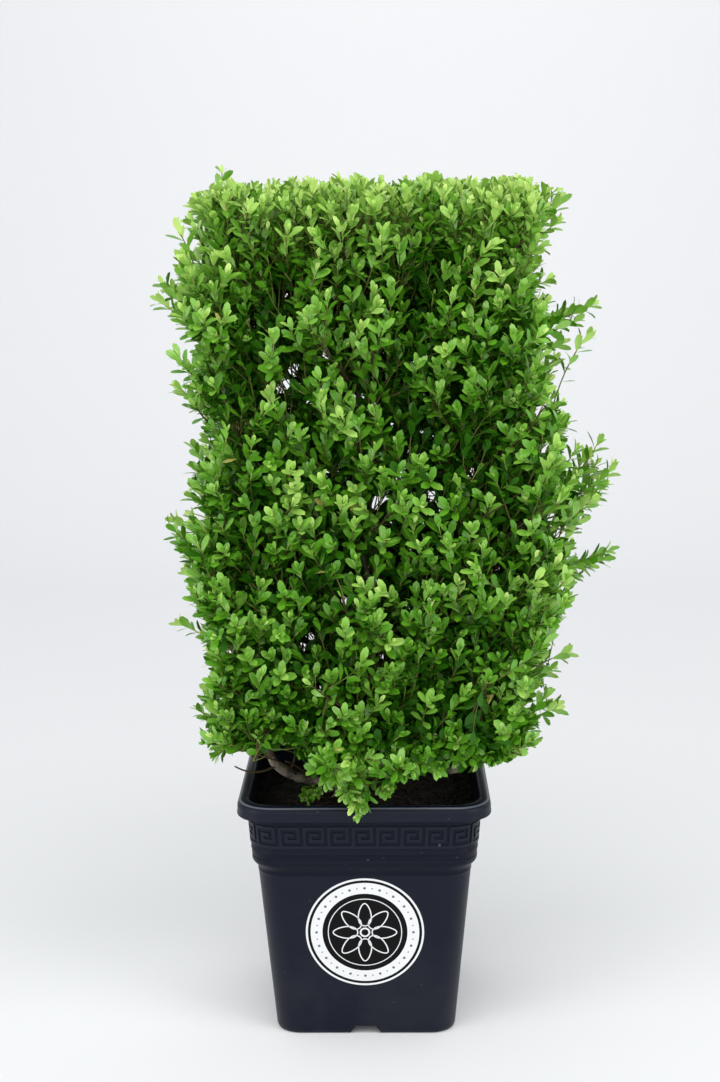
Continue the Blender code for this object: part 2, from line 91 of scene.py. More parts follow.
def faceOutwards():
    # the last step in edit mode
    bpy.ops.mesh.select_all(action="SELECT")
    bpy.ops.mesh.normals_make_consistent(inside=False)
    leaveEdit()


def pickEdges(piece, test):
    # edit mode with the edges whose ends both pass
    editAll(piece)
    bpy.ops.mesh.select_mode(type="EDGE")
    bpy.ops.mesh.select_all(action="DESELECT")
    leaveEdit()
    for edge in piece.data.edges:
        edge.select = all(test(piece.data.vertices[i].co) for i in edge.vertices)
    bpy.ops.object.mode_set(mode="EDIT")


def give(piece, slot, *nodes):
    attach(piece, "root")
    if nodes:
        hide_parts(*nodes)


# Shared effects
def newGroup(name, inputs, outputs):
    # inputs: name and value, none for a vector; outputs are all numbers
    group = bpy.data.node_groups.new(name, "ShaderNodeTree")
    for title, value in inputs.items():
        kind = "NodeSocketVector" if value is None else "NodeSocketFloat"
        socket = group.interface.new_socket(name=title, in_out="INPUT", socket_type=kind)
        if value is not None:
            socket.default_value = value
    for title in outputs:
        group.interface.new_socket(name=title, in_out="OUTPUT", socket_type="NodeSocketFloat")
    return group, group.nodes.new("NodeGroupInput").outputs, group.nodes.new("NodeGroupOutput").inputs


def fill(tree, socket, value):
    # another node's socket is linked, anything else is the value itself
    if isinstance(value, bpy.types.NodeSocket):
        tree.links.new(value, socket)
    else:
        socket.default_value = value


def addNode(tree, kind, *inputs, **values):
    # inputs in their order, then inputs by name and the node's own settings
    node = tree.nodes.new("ShaderNode" + kind)
    for socket, value in zip(node.inputs, inputs):
        fill(tree, socket, value)
    for key, value in values.items():
        socket = node.inputs.get(key.replace("_", " "))
        if socket is None:
            setattr(node, key, value)
        else:
            fill(tree, socket, value)
    return node


def doMath(tree, operation, *values):
    return addNode(tree, "Math", *values, operation=operation).outputs[0]


def remap(tree, value, low, high, toLow=0.0, toHigh=1.0):
    return addNode(tree, "MapRange", value, low, high, toLow, toHigh).outputs[0]


def mixColours(tree, factor, first, second):
    mix = addNode(tree, "Mix", data_type="RGBA")
    for i, value in ((0, factor), (6, first), (7, second)):
        fill(tree, mix.inputs[i], (*value, 1) if isinstance(value, tuple) else value)
    return mix.outputs[2]


def layColours(tree, base, *layers):
    # each layer: mask, its values for none and for most, how much at most, colour
    for mask, low, high, most, colour in layers:
        base = mixColours(tree, remap(tree, mask, low, high, 0.0, most), base, colour)
    return base


def useGroup(tree, group, **values):
    return addNode(tree, "Group", node_tree=group, **values).outputs


def bumpUp(tree, shader, height, strength, distance):
    bump = addNode(tree, "Bump", Height=height, Strength=strength, Distance=distance)
    fill(tree, shader["Normal"], bump.outputs[0])


def startMaterial(name, roughness, gloss=0.5, colour=None):
    # gives the material, its node tree and the shader's inputs
    material = bpy.data.materials.new(name)
    material.use_nodes = True
    shader = material.node_tree.nodes["Principled BSDF"].inputs
    shader["Roughness"].default_value = roughness
    shader["Specular IOR Level"].default_value = gloss
    if colour:
        shader["Base Color"].default_value = material.diffuse_color = (*colour, 1)
    return material, material.node_tree, shader


def makeGrainGroup():
    # soft blotches and fine grain, as a mask and as a height
    group, given, out = newGroup(
        "grainAndBlotch", {"Vector": None, "Blotch Scale": 20.0, "Grain Scale": 900.0}, ["Blotch", "Grain"]
    )
    for name, detail, roughness in (("Blotch", 4.0, 0.6), ("Grain", 3.0, 0.55)):
        texture = addNode(
            group, "TexNoise", Vector=given["Vector"], Scale=given[name + " Scale"],
            Detail=detail, Roughness=roughness,
        )
        fill(group, out[name], texture.outputs["Fac"])
    return group


def makeSpeckGroup():
    # scattered specks, each a soft dot in its own cell, only in some cells
    group, given, out = newGroup(
        "scatteredSpecks", {"Vector": None, "Scale": 90.0, "Size": 0.12, "Share": 0.2}, ["Mask"]
    )
    cells = addNode(group, "TexVoronoi", Vector=given["Vector"], Scale=given["Scale"]).outputs
    chance = addNode(group, "SeparateColor", cells["Color"]).outputs[0]
    dot = doMath(group, "LESS_THAN", cells["Distance"], given["Size"])
    some = doMath(group, "LESS_THAN", chance, given["Share"])
    fill(group, out["Mask"], doMath(group, "MULTIPLY", dot, some))
    return group


grainGroup = makeGrainGroup()
speckGroup = makeSpeckGroup()


# Camera and studio
cameraPlan = {
    "place": (0.0234, -1.5661, 0.7412),
    "turn": 0.0168,
    "tilt": 0.1839,
    "roll": -0.0089,
    "frameHigh": 36,
    "lens": 57.08,
    "near": 0.02,
}
studio = {
    "floorHalf": 3.2,
    "wallAway": 3.1,
    "wallHigh": 3.2,
    "sweep": 1.2,
    "sweepSteps": 24,
    "floorColour": (0.82, 0.825, 0.83),
    "floorRough": 0.9,
    "worldColour": (0.95, 0.97, 1.0),
    "worldPower": 0.8,
}
lamps = {  # place, aims at, width, height, power in watts, colour, beam in degrees
    "top": ((0.1, -1.0, 2.4), (0.0, 0.0, 0.4), 1.8, 0.6, 17, (1.0, 0.985, 0.96), 180),
    "left": ((-1.9, -1.2, 0.9), (0.0, 0.0, 0.15), 1.4, 1.4, 15, (1, 1, 1), 180),
    "right": ((1.9, -1.1, 1.0), (0.0, 0.0, 0.15), 1.4, 1.4, 15, (1.0, 0.99, 0.97), 180),
    "front": ((0.0, -2.7, 0.8), (0.0, 0.0, 0.2), 2.8, 1.0, 10, (1, 1, 1), 180),
    "wall": ((0.15, 1.5, 2.1), (0.15, 3.1, 1.45), 1.4, 0.4, 6.0, (1, 1, 1), 180),
    "floorLeft": ((-1.0, -0.3, 1.0), (-0.14, 0.04, 0.0), 0.2, 0.2, 0.028, (1, 1, 1), 13),
    "floorRight": ((1.0, -0.3, 1.0), (0.14, 0.04, 0.0), 0.2, 0.2, 0.013, (1, 1, 1), 13),
}


def makeCamera():
    clearPick()
    bpy.ops.object.camera_add()
    camera = named("photo_view")
    turn = Matrix.Rotation(cameraPlan["turn"], 4, "Z")
    tilt = Matrix.Rotation(math.pi / 2 - cameraPlan["tilt"], 4, "X")
    roll = Matrix.Rotation(cameraPlan["roll"], 4, "Z")
    camera.matrix_world = Matrix.Translation(cameraPlan["place"]) @ turn @ tilt @ roll
    camera.data.sensor_fit = "VERTICAL"
    camera.data.sensor_height = cameraPlan["frameHigh"]
    camera.data.lens = cameraPlan["lens"]
    camera.data.clip_start = cameraPlan["near"]
    bpy.context.scene.camera = camera


def makeStudio():
    bpy.ops.mesh.primitive_plane_add(size=2 * studio["floorHalf"], location=(0, 0, 0))
    floor = named("studio_sweep")
    for vert in floor.data.vertices:
        if vert.co.y > 0:
            vert.co.y = studio["wallAway"]
    pickEdges(floor, lambda end: end.y > 0)
    extrudeUp(studio["wallHigh"])
    leaveEdit()
    pickEdges(floor, lambda end: end.y > 0 and end.z < studio["wallHigh"] / 2)
    bpy.ops.mesh.bevel(offset=studio["sweep"], segments=studio["sweepSteps"], affect="EDGES")
    leaveEdit()
    bpy.ops.object.shade_smooth()
    paper = startMaterial("paper", studio["floorRough"], colour=studio["floorColour"])[0]
    floor.data.materials.append(paper)

    for name, (place, aim, wide, high, power, colour, beam) in lamps.items():
        data = bpy.data.lights.new(name, "AREA")
        data.shape = "RECTANGLE"
        data.size, data.size_y = wide, high
        data.energy, data.color = power, colour
        data.spread = math.radians(beam)
        turn = (Vector(aim) - Vector(place)).to_track_quat("-Z", "Y").to_matrix().to_4x4()
        link("lamp_" + name, data).matrix_world = Matrix.Translation(place) @ turn

    world = bpy.data.worlds.new("studio")
    world.use_nodes = True
    sky = world.node_tree.nodes["Background"].inputs
    sky["Color"].default_value = (*studio["worldColour"], 1)
    sky["Strength"].default_value = studio["worldPower"]
    bpy.context.scene.world = world
    bpy.context.scene.view_settings.view_transform = "Standard"
    bpy.context.scene.view_settings.look = "None"


makeCamera()
makeStudio()
print("stage: camera, sweep and lamps set")


# Pot
pot = {
    "corner": 0.03,  # at the rim, and in step with the size below it
    "cornerSteps": 9,
    "rimHalf": 0.115,
    "start": (0.07, 0.0075),
    "rings": [  # half width and height, from the underside up and over the rim, then down inside
        (0.0735, 0.0068), (0.0745, 0.0000), (0.0812, 0.0000), (0.0826, 0.001), (0.0834, 0.0032),
        (0.08375, 0.006), (0.087, 0.0425), (0.0904, 0.08), (0.0941, 0.1215), (0.0973, 0.1575),
        (0.0974, 0.159), (0.0978, 0.1597), (0.0978, 0.1611), (0.0976, 0.1618), (0.098, 0.164),
        (0.0988, 0.1656), (0.1006, 0.1678), (0.1019, 0.1697), (0.1026, 0.1712), (0.1028, 0.1728),
        (0.10285, 0.175), (0.1025, 0.1755), (0.1025, 0.1765), (0.1029, 0.177), (0.1032, 0.1815),
        (0.1036, 0.1819), (0.1036, 0.1833), (0.10335, 0.1838), (0.1041, 0.196), (0.1052, 0.211),
        (0.1056, 0.214), (0.1062, 0.2175), (0.1068, 0.22), (0.1078, 0.2212), (0.1108, 0.2212),
        (0.1126, 0.2206), (0.1132, 0.2194), (0.1134, 0.2172), (0.114, 0.2166), (0.1147, 0.2168),
        (0.115, 0.2176), (0.115, 0.2186), (0.1147, 0.2196), (0.1147, 0.224), (0.1145, 0.2256),
        (0.1139, 0.2272), (0.113, 0.2286), (0.1117, 0.2296), (0.1101, 0.2302), (0.1084, 0.2304),
        (0.1068, 0.2301), (0.1055, 0.2292), (0.1046, 0.2278), (0.1042, 0.2258), (0.1037, 0.216),
        (0.1003, 0.173), (0.0953, 0.161), (0.0812, 0.013), (0.0795, 0.0112),
    ],
    "notchAt": 0.08,
    "notchDeep": 0.012,
    "notchEnds": ((0.03, -0.0008), (0.019, 0.008)),  # width and height, foot and top
    "drainRadius": 0.006,
    "drainHigh": 0.04,
    "drainPlace": (0.05, 0.01),  # aside and height
    "drainSides": 28,
    "smoothAngle": 38,
    # heights of the collar, painted darker as shade, and of a thin ring under the rim's top, painted lighter as a
    # highlight
    "collarShadeSpan": (0.16, 0.2166),
    "edgeHighlightSpan": (0.2285, 0.2297),
    "tones": {  # dark, light, gloss
        "slatePlastic": ((0.0014, 0.0032, 0.0105), (0.0038, 0.006, 0.016), 0.2),
        # a darker copy for the collar: painted shade under the rim and the crown
        "slateCollarPaintedShade": ((0.0014, 0.0029, 0.0092), (0.0032, 0.0051, 0.0136), 0.14),
        # a much lighter copy for a thin ring under the rim's top: a painted highlight
        "slateEdgePaintedHighlight": ((0.04, 0.045, 0.06), (0.15, 0.16, 0.19), 0.35),
        # a lighter copy for the raised key lines: a painted highlight on the relief
        "slateLinesPaintedHighlight": ((0.004, 0.0062, 0.014), (0.0072, 0.0098, 0.02), 0.18),
    },
    "footTone": (0.02, 0.022, 0.031),
    "speck": (0.075, 0.078, 0.085),
    "lint": (0.2, 0.21, 0.22),
}


def cornerAt(half):
    return pot["corner"] * half / pot["rimHalf"]


def buildPot():
    half, height = pot["start"]
    bpy.ops.mesh.primitive_plane_add(size=2 * half, location=(0, 0, height))
    body = named("pot_moulded")
    bakePlace(body)
    editAll(body)
    bpy.ops.mesh.bevel(offset=cornerAt(half), segments=pot["cornerSteps"], affect="VERTICES")
    for nextHalf, nextHeight in pot["rings"]:
        extrudeUp(nextHeight - height)
        share = nextHalf / half
        bpy.ops.transform.resize(value=(share, share, 1), center_override=(0, 0, nextHeight))
        half, height = nextHalf, nextHeight
    faceOutwards()

    cutters = []
    for turn in range(4):
        bpy.ops.mesh.primitive_cube_add(size=1, location=(0, 0, 0))
        cutter = named("notch")
        for vert in cutter.data.vertices:
            wide, vert.co.z = pot["notchEnds"][int(vert.co.z > 0)]
            vert.co.x *= wide
            vert.co.y = math.copysign(pot["notchDeep"], vert.co.y) - pot["notchAt"]
        cutter.rotation_euler.z = turn * math.pi / 2
        cutters.append(cutter)
    aside, height = pot["drainPlace"]
    for x, y in ((-aside, -aside), (-aside, aside), (aside, -aside), (aside, aside)):
        bpy.ops.mesh.primitive_cylinder_add(
            vertices=pot["drainSides"], radius=pot["drainRadius"], depth=pot["drainHigh"], location=(x, y, height)
        )
        cutters.append(named("drain"))
    pickOnly(body)
    for cutter in cutters:
        cut = body.modifiers.new(cutter.name, "BOOLEAN")
        cut.operation = "DIFFERENCE"
        cut.solver = "EXACT"
        cut.object = cutter
        bpy.ops.object.modifier_apply(modifier=cut.name)
        bpy.data.objects.remove(cutter, do_unlink=True)
    bpy.ops.object.shade_smooth_by_angle(angle=math.radians(pot["smoothAngle"]))
    return body


def potPlastic(name, dark, light, gloss):
    material, tree, shader = startMaterial(name, 0.5, gloss)
    place = addNode(tree, "TexCoord").outputs["Object"]
    grain = useGroup(tree, grainGroup, Vector=place, Blotch_Scale=14.0, Grain_Scale=1500.0)
    specks = useGroup(tree, speckGroup, Vector=place, Scale=120.0, Size=0.11, Share=0.16)
    lint = useGroup(tree, speckGroup, Vector=place, Scale=34.0, Size=0.045, Share=0.35)
    # the plastic turns lighter and blotchy towards the foot
    low = remap(tree, addNode(tree, "SeparateXYZ", place).outputs[2], 0.13, 0.0, 0.0, 0.55)
    footShare = doMath(tree, "MULTIPLY", low, remap(tree, grain["Blotch"], 0.42, 0.66))
    base = mixColours(tree, footShare, mixColours(tree, grain["Blotch"], dark, light), pot["footTone"])
    base = layColours(
        tree, base, (specks["Mask"], 0, 1, 0.3, pot["speck"]), (lint["Mask"], 0, 1, 0.32, pot["lint"])
    )
    fill(tree, shader["Base Color"], base)
    fill(tree, shader["Roughness"], remap(tree, grain["Blotch"], 0.3, 0.7, 0.33, 0.46))
    bumpUp(tree, shader, grain["Grain"], 0.22, 0.0004)
    return material


potBody = buildPot()
slates = [potPlastic(name, *tones) for name, tones in pot["tones"].items()]
for material in slates[:3]:
    potBody.data.materials.append(material)
# outward collar faces take the darker copy, painted shade; a thin ring under the rim's top takes the lighter copy, a
# painted highlight
for face in potBody.data.polygons:
    outward = face.normal.x * face.center.x + face.normal.y * face.center.y > 0.01
    for number, (low, high) in ((1, pot["collarShadeSpan"]), (2, pot["edgeHighlightSpan"])):
        if outward and low < face.center.z < high:
            face.material_index = number
give(potBody, "pot_plastic", "pot")
print("stage: pot moulded,", len(potBody.data.polygons), "faces")


# Key-pattern band round the collar
keyBand = {
    "units": 36,
    "foot": 0.1884,
    "top": 0.2094,
    "proud": 0.0008,
    "draft": 0.00055,
    "sunk": 0.00005,
    "smoothAngle": 32,
    "half": 0.1046,
    "collar": [(0.1838, 0.10335), (0.196, 0.1041), (0.211, 0.1052), (0.214, 0.1056)],  # height, half width
    "cells": [  # rows from the top, x where the moulding stands proud
        "xxxxxxx.",
        "x.....x.",
        "x.xxx.x.",
        "x.x...x.",
        "x.xxxxx.",
        "x.......",
        "xxxxxxxx",
    ],
}


def onCollar(along, height, out):
    # along is 0 to 1 round the pot, from the middle of the front to the right
    half = keyBand["half"]
    corner = cornerAt(half)
    flat = half - corner
    side = 2 * flat + corner * math.pi / 2
    run = (along % 1.0) * 4 * side
    turn = int((run + side / 2) // side)
    run -= turn * side
    x, y, nx, ny = run, -half, 0.0, -1.0
    if abs(run) > flat:
        angle = (abs(run) - flat) / corner
        nx, ny = math.copysign(math.sin(angle), run), -math.cos(angle)
        x, y = math.copysign(flat, run) + corner * nx, -flat + corner * ny
    grow = float(np.interp(height, *zip(*keyBand["collar"]))) / half
    place = Vector((x * grow + nx * out, y * grow + ny * out, height))
    return Matrix.Rotation(turn * math.pi / 2, 3, "Z") @ place


def buildKeyBand():
    cells = keyBand["cells"]
    down, wide = len(cells), len(cells[0])
    bpy.ops.mesh.primitive_grid_add(x_subdivisions=wide, y_subdivisions=down, size=1, location=(0, 0, 0))
    key = named("key")
    for face in key.data.polygons:
        row, place = int((0.5 - face.center.y) * down), int((face.center.x + 0.5) * wide)
        face.select = cells[row][place] == "x"
    for part in (*key.data.edges, *key.data.vertices):
        part.select = False
    bpy.ops.object.mode_set(mode="EDIT")
    bpy.ops.mesh.select_mode(type="FACE")
    bpy.ops.mesh.select_all(action="INVERT")
    bpy.ops.mesh.delete(type="FACE")
    leaveEdit()
    copies = []
    for i in range(keyBand["units"]):
        copies.append(link("key_copy", key.data.copy()))
        for vert in copies[i].data.vertices:
            vert.co.x += i
    bpy.data.objects.remove(key, do_unlink=True)
    pickOnly(*copies)
    bpy.ops.object.join()
    band = named("pot_key_band")
    for vert in band.data.vertices:
        height = keyBand["foot"] + (vert.co.y + 0.5) * (keyBand["top"] - keyBand["foot"])
        vert.co = onCollar(vert.co.x / keyBand["units"], height, -keyBand["sunk"])
    editAll(band)
    bpy.ops.mesh.remove_doubles(threshold=keyBand["sunk"])
    faceOutwards()
    # the faces must look outwards before they are raised
    face = band.data.polygons[0]
    inward = face.normal.xy.dot(face.center.xy) < 0
    editAll(band)
    if inward:
        bpy.ops.mesh.flip_normals()
    bpy.ops.mesh.extrude_region_shrink_fatten(TRANSFORM_OT_shrink_fatten={"value": keyBand["proud"]})
    bpy.ops.mesh.inset(thickness=keyBand["draft"], depth=0.0, use_boundary=True)
    leaveEdit()
    bpy.ops.object.shade_smooth_by_angle(angle=math.radians(keyBand["smoothAngle"]))
    return band


band = buildKeyBand()
# the raised key lines take the lighter copy of the slate, a painted highlight
band.data.materials.append(slates[3])
give(band, "pot_plastic")
print("stage: key band,", len(band.data.polygons), "faces")


# Badge on the front: rings and a plain eight-petalled rosette
badge = {
    "centre": (0.0, 0.104),
    "wall": (0.0832, 0.0978, 0.163),  # half width at the foot and at a height, that height
    "away": 0.0001,
    "thick": 0.00022,
    "print": 0.00004,
    "sides": 112,
    "petalSides": 28,
    "hoopSides": 72,
    "dotSides": 14,
    "radii": (0.054, 0.0521, 0.0496, 0.0388),  # white edge, black line, white ring, black disc
    "petals": 8,
    "petalSpan": (0.0065, 0.029),
    "petalHalf": 0.0058,
    "petalTaper": 0.25,
    "petalLine": 0.0011,
    "hoops": ((0.0335, 0.0008), (0.004, 0.0016)),  # radius, line
    "dots": 40,
    "dotRadius": 0.00125,
    "dotRing": 0.0442,
    "smallDot": 0.55,
    "tones": {  # colour, second colour, roughness, gloss
        "badgeWhite": ((0.8, 0.81, 0.82), (0.7, 0.71, 0.72), 0.34, 0.4),
        "badgeBlack": ((0.003, 0.003, 0.0034), (0.005, 0.005, 0.0056), 0.4, 0.1),
        "badgeGrey": ((0.12, 0.12, 0.125), (0.16, 0.16, 0.165), 0.34, 0.3),
    },
}


def badgeMaterial(name, colour, other, roughness, gloss):
    material, tree, shader = startMaterial(name, roughness, gloss)
    place = addNode(tree, "TexCoord").outputs["Object"]
    grain = useGroup(tree, grainGroup, Vector=place, Blotch_Scale=60.0, Grain_Scale=2600.0)
    fill(tree, shader["Base Color"], mixColours(tree, grain["Blotch"], colour, other))
    fill(tree, shader["Roughness"], remap(tree, grain["Grain"], 0.3, 0.7, roughness - 0.05, roughness + 0.07))
    bumpUp(tree, shader, grain["Grain"], 0.08, 0.0001)
    return material


def circlePoints(radius, count, height):
    turns = [2 * math.pi * i / count for i in range(count)]
    return [Vector((radius * math.cos(turn), radius * math.sin(turn), height)) for turn in turns]


def flatLine(points, thick, material):
    # a closed outline drawn as a flat line of one width
    verts, faces = [], []
    for i, point in enumerate(points):
        j = (i + 1) % len(points)
        way = (points[j] - points[i - 1]).normalized()
        side = Vector((-way.y, way.x, 0)) * thick / 2
        verts += [point + side, point - side]
        faces.append((2 * i + 1, 2 * j + 1, 2 * j, 2 * i))
    mesh = bpy.data.meshes.new("line")
    mesh.from_pydata(verts, [], faces)
    mesh.materials.append(material)
    return link("line", mesh)


def buildBadge():
    white, black, grey = [badgeMaterial(name, *tones) for name, tones in badge["tones"].items()]
    outer, line, ring, disc = badge["radii"]
    bpy.ops.mesh.primitive_circle_add(vertices=badge["sides"], radius=outer, fill_type="NGON", location=(0, 0, 0))
    plate = named("pot_badge")
    for material in (white, black):
        plate.data.materials.append(material)
    editAll(plate)
    extrudeUp(badge["thick"])
    for step in (outer - line, line - ring, ring - disc):
        bpy.ops.mesh.inset(thickness=step, depth=0.0)
    leaveEdit()
    for face in plate.data.polygons:
        reach = face.center.xy.length
        if face.normal.z > 0.5 and (reach < disc * 0.9 or ring < reach < line):
            face.material_index = 1

    lift = badge["thick"] + badge["print"]
    foot, tip = badge["petalSpan"]
    lines = [(circlePoints(radius, badge["hoopSides"], lift), thick) for radius, thick in badge["hoops"]]
    for k in range(badge["petals"]):
        turn = Matrix.Rotation(2 * math.pi * k / badge["petals"], 3, "Z")
        outline = []
        for c, s, z in circlePoints(1, badge["petalSides"], lift):
            along = (foot + tip) / 2 + (tip - foot) / 2 * c
            aside = badge["petalHalf"] * s * (1 - badge["petalTaper"] * c)
            outline.append(turn @ Vector((along, aside, z)))
        lines.append((outline, badge["petalLine"]))
    prints = [flatLine(points, thick, white) for points, thick in lines]
    for k, middle in enumerate(circlePoints(badge["dotRing"], badge["dots"], lift)):
        bpy.ops.mesh.primitive_circle_add(
            vertices=badge["dotSides"], radius=badge["dotRadius"], fill_type="NGON", location=middle
        )
        dot = named("dot")
        if k % 2:
            dot.scale = (badge["smallDot"], badge["smallDot"], 1)
        bakePlace(dot)
        dot.data.materials.append(grey)
        prints.append(dot)
    pickOnly(plate, *prints)
    bpy.ops.object.join()

    x, z = badge["centre"]
    low, high, rise = badge["wall"]
    front = low + (high - low) * z / rise
    lean = Matrix.Rotation(math.pi / 2 + math.atan2(high - low, rise), 4, "X")
    plate.matrix_world = Matrix.Translation((x, -front - badge["away"], z)) @ lean
    bakePlace(plate)
    return plate


plate = buildBadge()
give(plate, "pot_plastic")
print("stage: badge,", len(plate.data.polygons), "faces")


# Joined meshes from arrays
def meshFromParts(name, parts, materials):
    # a part: points, triangles, material number, and for leaves the place on the leaf
    starts = np.cumsum([0] + [len(part[0]) for part in parts])
    points = np.concatenate([part[0] for part in parts])
    triangles = np.concatenate([part[1] + start for part, start in zip(parts, starts)])
    mesh = bpy.data.meshes.new(name)
    mesh.vertices.add(len(points))
    mesh.vertices.foreach_set("co", np.asarray(points, np.float32).ravel())
    mesh.loops.add(triangles.size)
    mesh.loops.foreach_set("vertex_index", np.asarray(triangles, np.int32).ravel())
    mesh.polygons.add(len(triangles))
    mesh.polygons.foreach_set("loop_start", np.arange(0, triangles.size, 3, dtype=np.int32))
    tints = np.concatenate([np.full(len(part[1]), part[2]) for part in parts])
    mesh.polygons.foreach_set("material_index", np.asarray(tints, np.int32))
    mesh.polygons.foreach_set("use_smooth", np.ones(len(triangles), bool))
    for material in materials:
        mesh.materials.append(material)
    if len(parts[0]) > 3:
        uvs = np.concatenate([part[3] for part in parts])
        mesh.uv_layers.new(name="leaf").data.foreach_set("uv", np.asarray(uvs, np.float32)[triangles.ravel()].ravel())
    mesh.update(calc_edges=True)
    mesh.validate()
    return link(name, mesh)


def unit(vectors):
    return vectors / np.maximum(np.linalg.norm(vectors, axis=-1, keepdims=True), 1e-9)


def acrossOf(way):
    # a direction at right angles to each way
    guide = np.where(np.abs(way[:, 2:3]) < 0.8, [[0.0, 0.0, 1.0]], [[1.0, 0.0, 0.0]])
    return unit(np.cross(way, guide))


def framesAlong(way, across):
    # two directions across each path, turned as little as can be from ring to ring
    first = np.empty_like(way)
    for i in range(way.shape[1]):
        across = unit(across - way[:, i] * np.sum(across * way[:, i], axis=1, keepdims=True))
        first[:, i] = across
    return first, np.cross(way, first)


def tubeFaces(steps, sides):
    # between the rings, then to the tip and to the foot, the last two points
    faces = []
    for i in range(steps - 1):
        for s in range(sides):
            a, b = i * sides + s, i * sides + (s + 1) % sides
            faces += [(a, b, b + sides), (a, b + sides, a + sides)]
    last, tip = (steps - 1) * sides, steps * sides
    for s in range(sides):
        after = (s + 1) % sides
        faces += [(last + s, last + after, tip), (after, s, tip + 1)]
    return np.array(faces)


def tubes(paths, sizes, sides):
    # paths: n x k x 3 points, sizes: n x k radii; gives points and triangles, tips closed
    way = unit(np.gradient(paths, axis=1))
    first, second = framesAlong(way, acrossOf(way[:, 0]))
    turn = 2 * np.pi * np.arange(sides)[:, None] / sides
    out = np.cos(turn) * first[:, :, None] + np.sin(turn) * second[:, :, None]
    rings = paths[:, :, None] + sizes[..., None, None] * out
    tips = paths[:, -1] + way[:, -1] * sizes[:, -1:] * 0.8
    feet = paths[:, 0] - way[:, 0] * sizes[:, :1] * 0.3
    points = np.concatenate([rings.reshape(len(paths), -1, 3), tips[:, None], feet[:, None]], axis=1)
    faces = tubeFaces(paths.shape[1], sides)
    starts = np.arange(len(paths))[:, None, None] * points.shape[1]
    return points.reshape(-1, 3), (faces + starts).reshape(-1, 3), len(faces)


def taper(thick, thin, steps, count):
    return np.repeat(np.linspace(thick, thin, steps)[None], count, 0)


def curves(start, bend, end, steps):
    t = np.linspace(0, 1, steps)[None, :, None]
    return start[:, None] * (1 - t) ** 2 + 2 * bend[:, None] * t * (1 - t) + end[:, None] * t * t


# Crown: the source's rule of growth, carried on to finer twigs
limbs = {
    "soilTop": 0.2045,
    "trunkPlace": (-0.014, 0.002),
    "trunkHigh": 0.046,
    "trunkRadius": 0.0112,
    "trunkLean": 0.003,
    "flareRadius": 0.016,
    "flareHigh": 0.014,
    "rootLobes": 5,
    "lobeDepth": 0.22,
    "boughFoot": 0.0046,
    "boughTip": 0.0036,
    "boughTipHeight": 0.262,
    "boughTipShare": (0.86, 0.84),
    "boughBend": 0.38,
    "straighten": 0.42,
    "stemAim": 0.08,
    "stemTop": 0.72,
    "stemTopRadius": 0.0016,
    "stemSteps": 46,
    "stemEase": 0.1,
    "stemSway": 0.003,
    "feet": {  # heading in degrees, height up the trunk as a share, slope at the foot
        "front_left": (196, 0.24, 0.12),
        "front_centre": (270, 0.62, 0.7),
        "front_right": (330, 0.8, 0.6),
        "back_left": (142, 0.78, 0.7),
        "back_centre": (86, 0.56, 0.7),
        "back_right": (30, 0.42, 0.45),
    },
}
columns = {  # foot and head of each column's axis
    "front_left": ((-0.098, -0.074), (-0.118, -0.078)),
    "front_centre": ((0.006, -0.084), (-0.004, -0.074)),
    "front_right": ((0.108, -0.07), (0.116, -0.08)),
    "back_left": ((-0.104, 0.078), (-0.108, 0.076)),
    "back_centre": ((-0.002, 0.074), (0.008, 0.08)),
    "back_right": ((0.104, 0.082), (0.12, 0.074)),
}
columnNames = list(columns)
crown = {
    "foot": 0.248,
    "top": 0.7765,
    "axisFoot": 0.245,
    "axisTop": 0.77,
    "halfDepth": 0.144,
    "swell": [  # height, how far the front and the back stand out
        (0.25, -0.01, -0.014), (0.32, -0.004, -0.002), (0.41, 0.005, 0.009), (0.5, -0.003, 0.001),
        (0.57, 0.003, -0.006), (0.66, 0.007, 0.005), (0.72, -0.002, 0.008), (0.78, 0.000, -0.006),
    ],
    "raggedFoot": 0.263,
    "raggedBy": 0.024,
    "corner": 0.032,
    "edges": [  # height, left edge, right edge
        (0.26, -0.142, 0.154), (0.3, -0.147, 0.163), (0.34, -0.147, 0.164), (0.38, -0.148, 0.174),
        (0.42, -0.154, 0.187), (0.46, -0.157, 0.19), (0.5, -0.157, 0.192), (0.54, -0.147, 0.19),
        (0.58, -0.146, 0.18), (0.62, -0.154, 0.167), (0.66, -0.16, 0.168), (0.7, -0.149, 0.159),
        (0.74, -0.141, 0.161), (0.78, -0.147, 0.168),
    ],
    "lump": 0.021,
    "lumpSize": 0.043,
    "lumpMean": 0.35,
    "topEven": 0.6,
    "proudShare": 0.12,
    "proudBy": (0.005, 0.016),
    "span": (-0.15, 0.166),
    "lowestTwig": 0.236,
    "overRim": (0.1, 0.25),  # half width, height
}
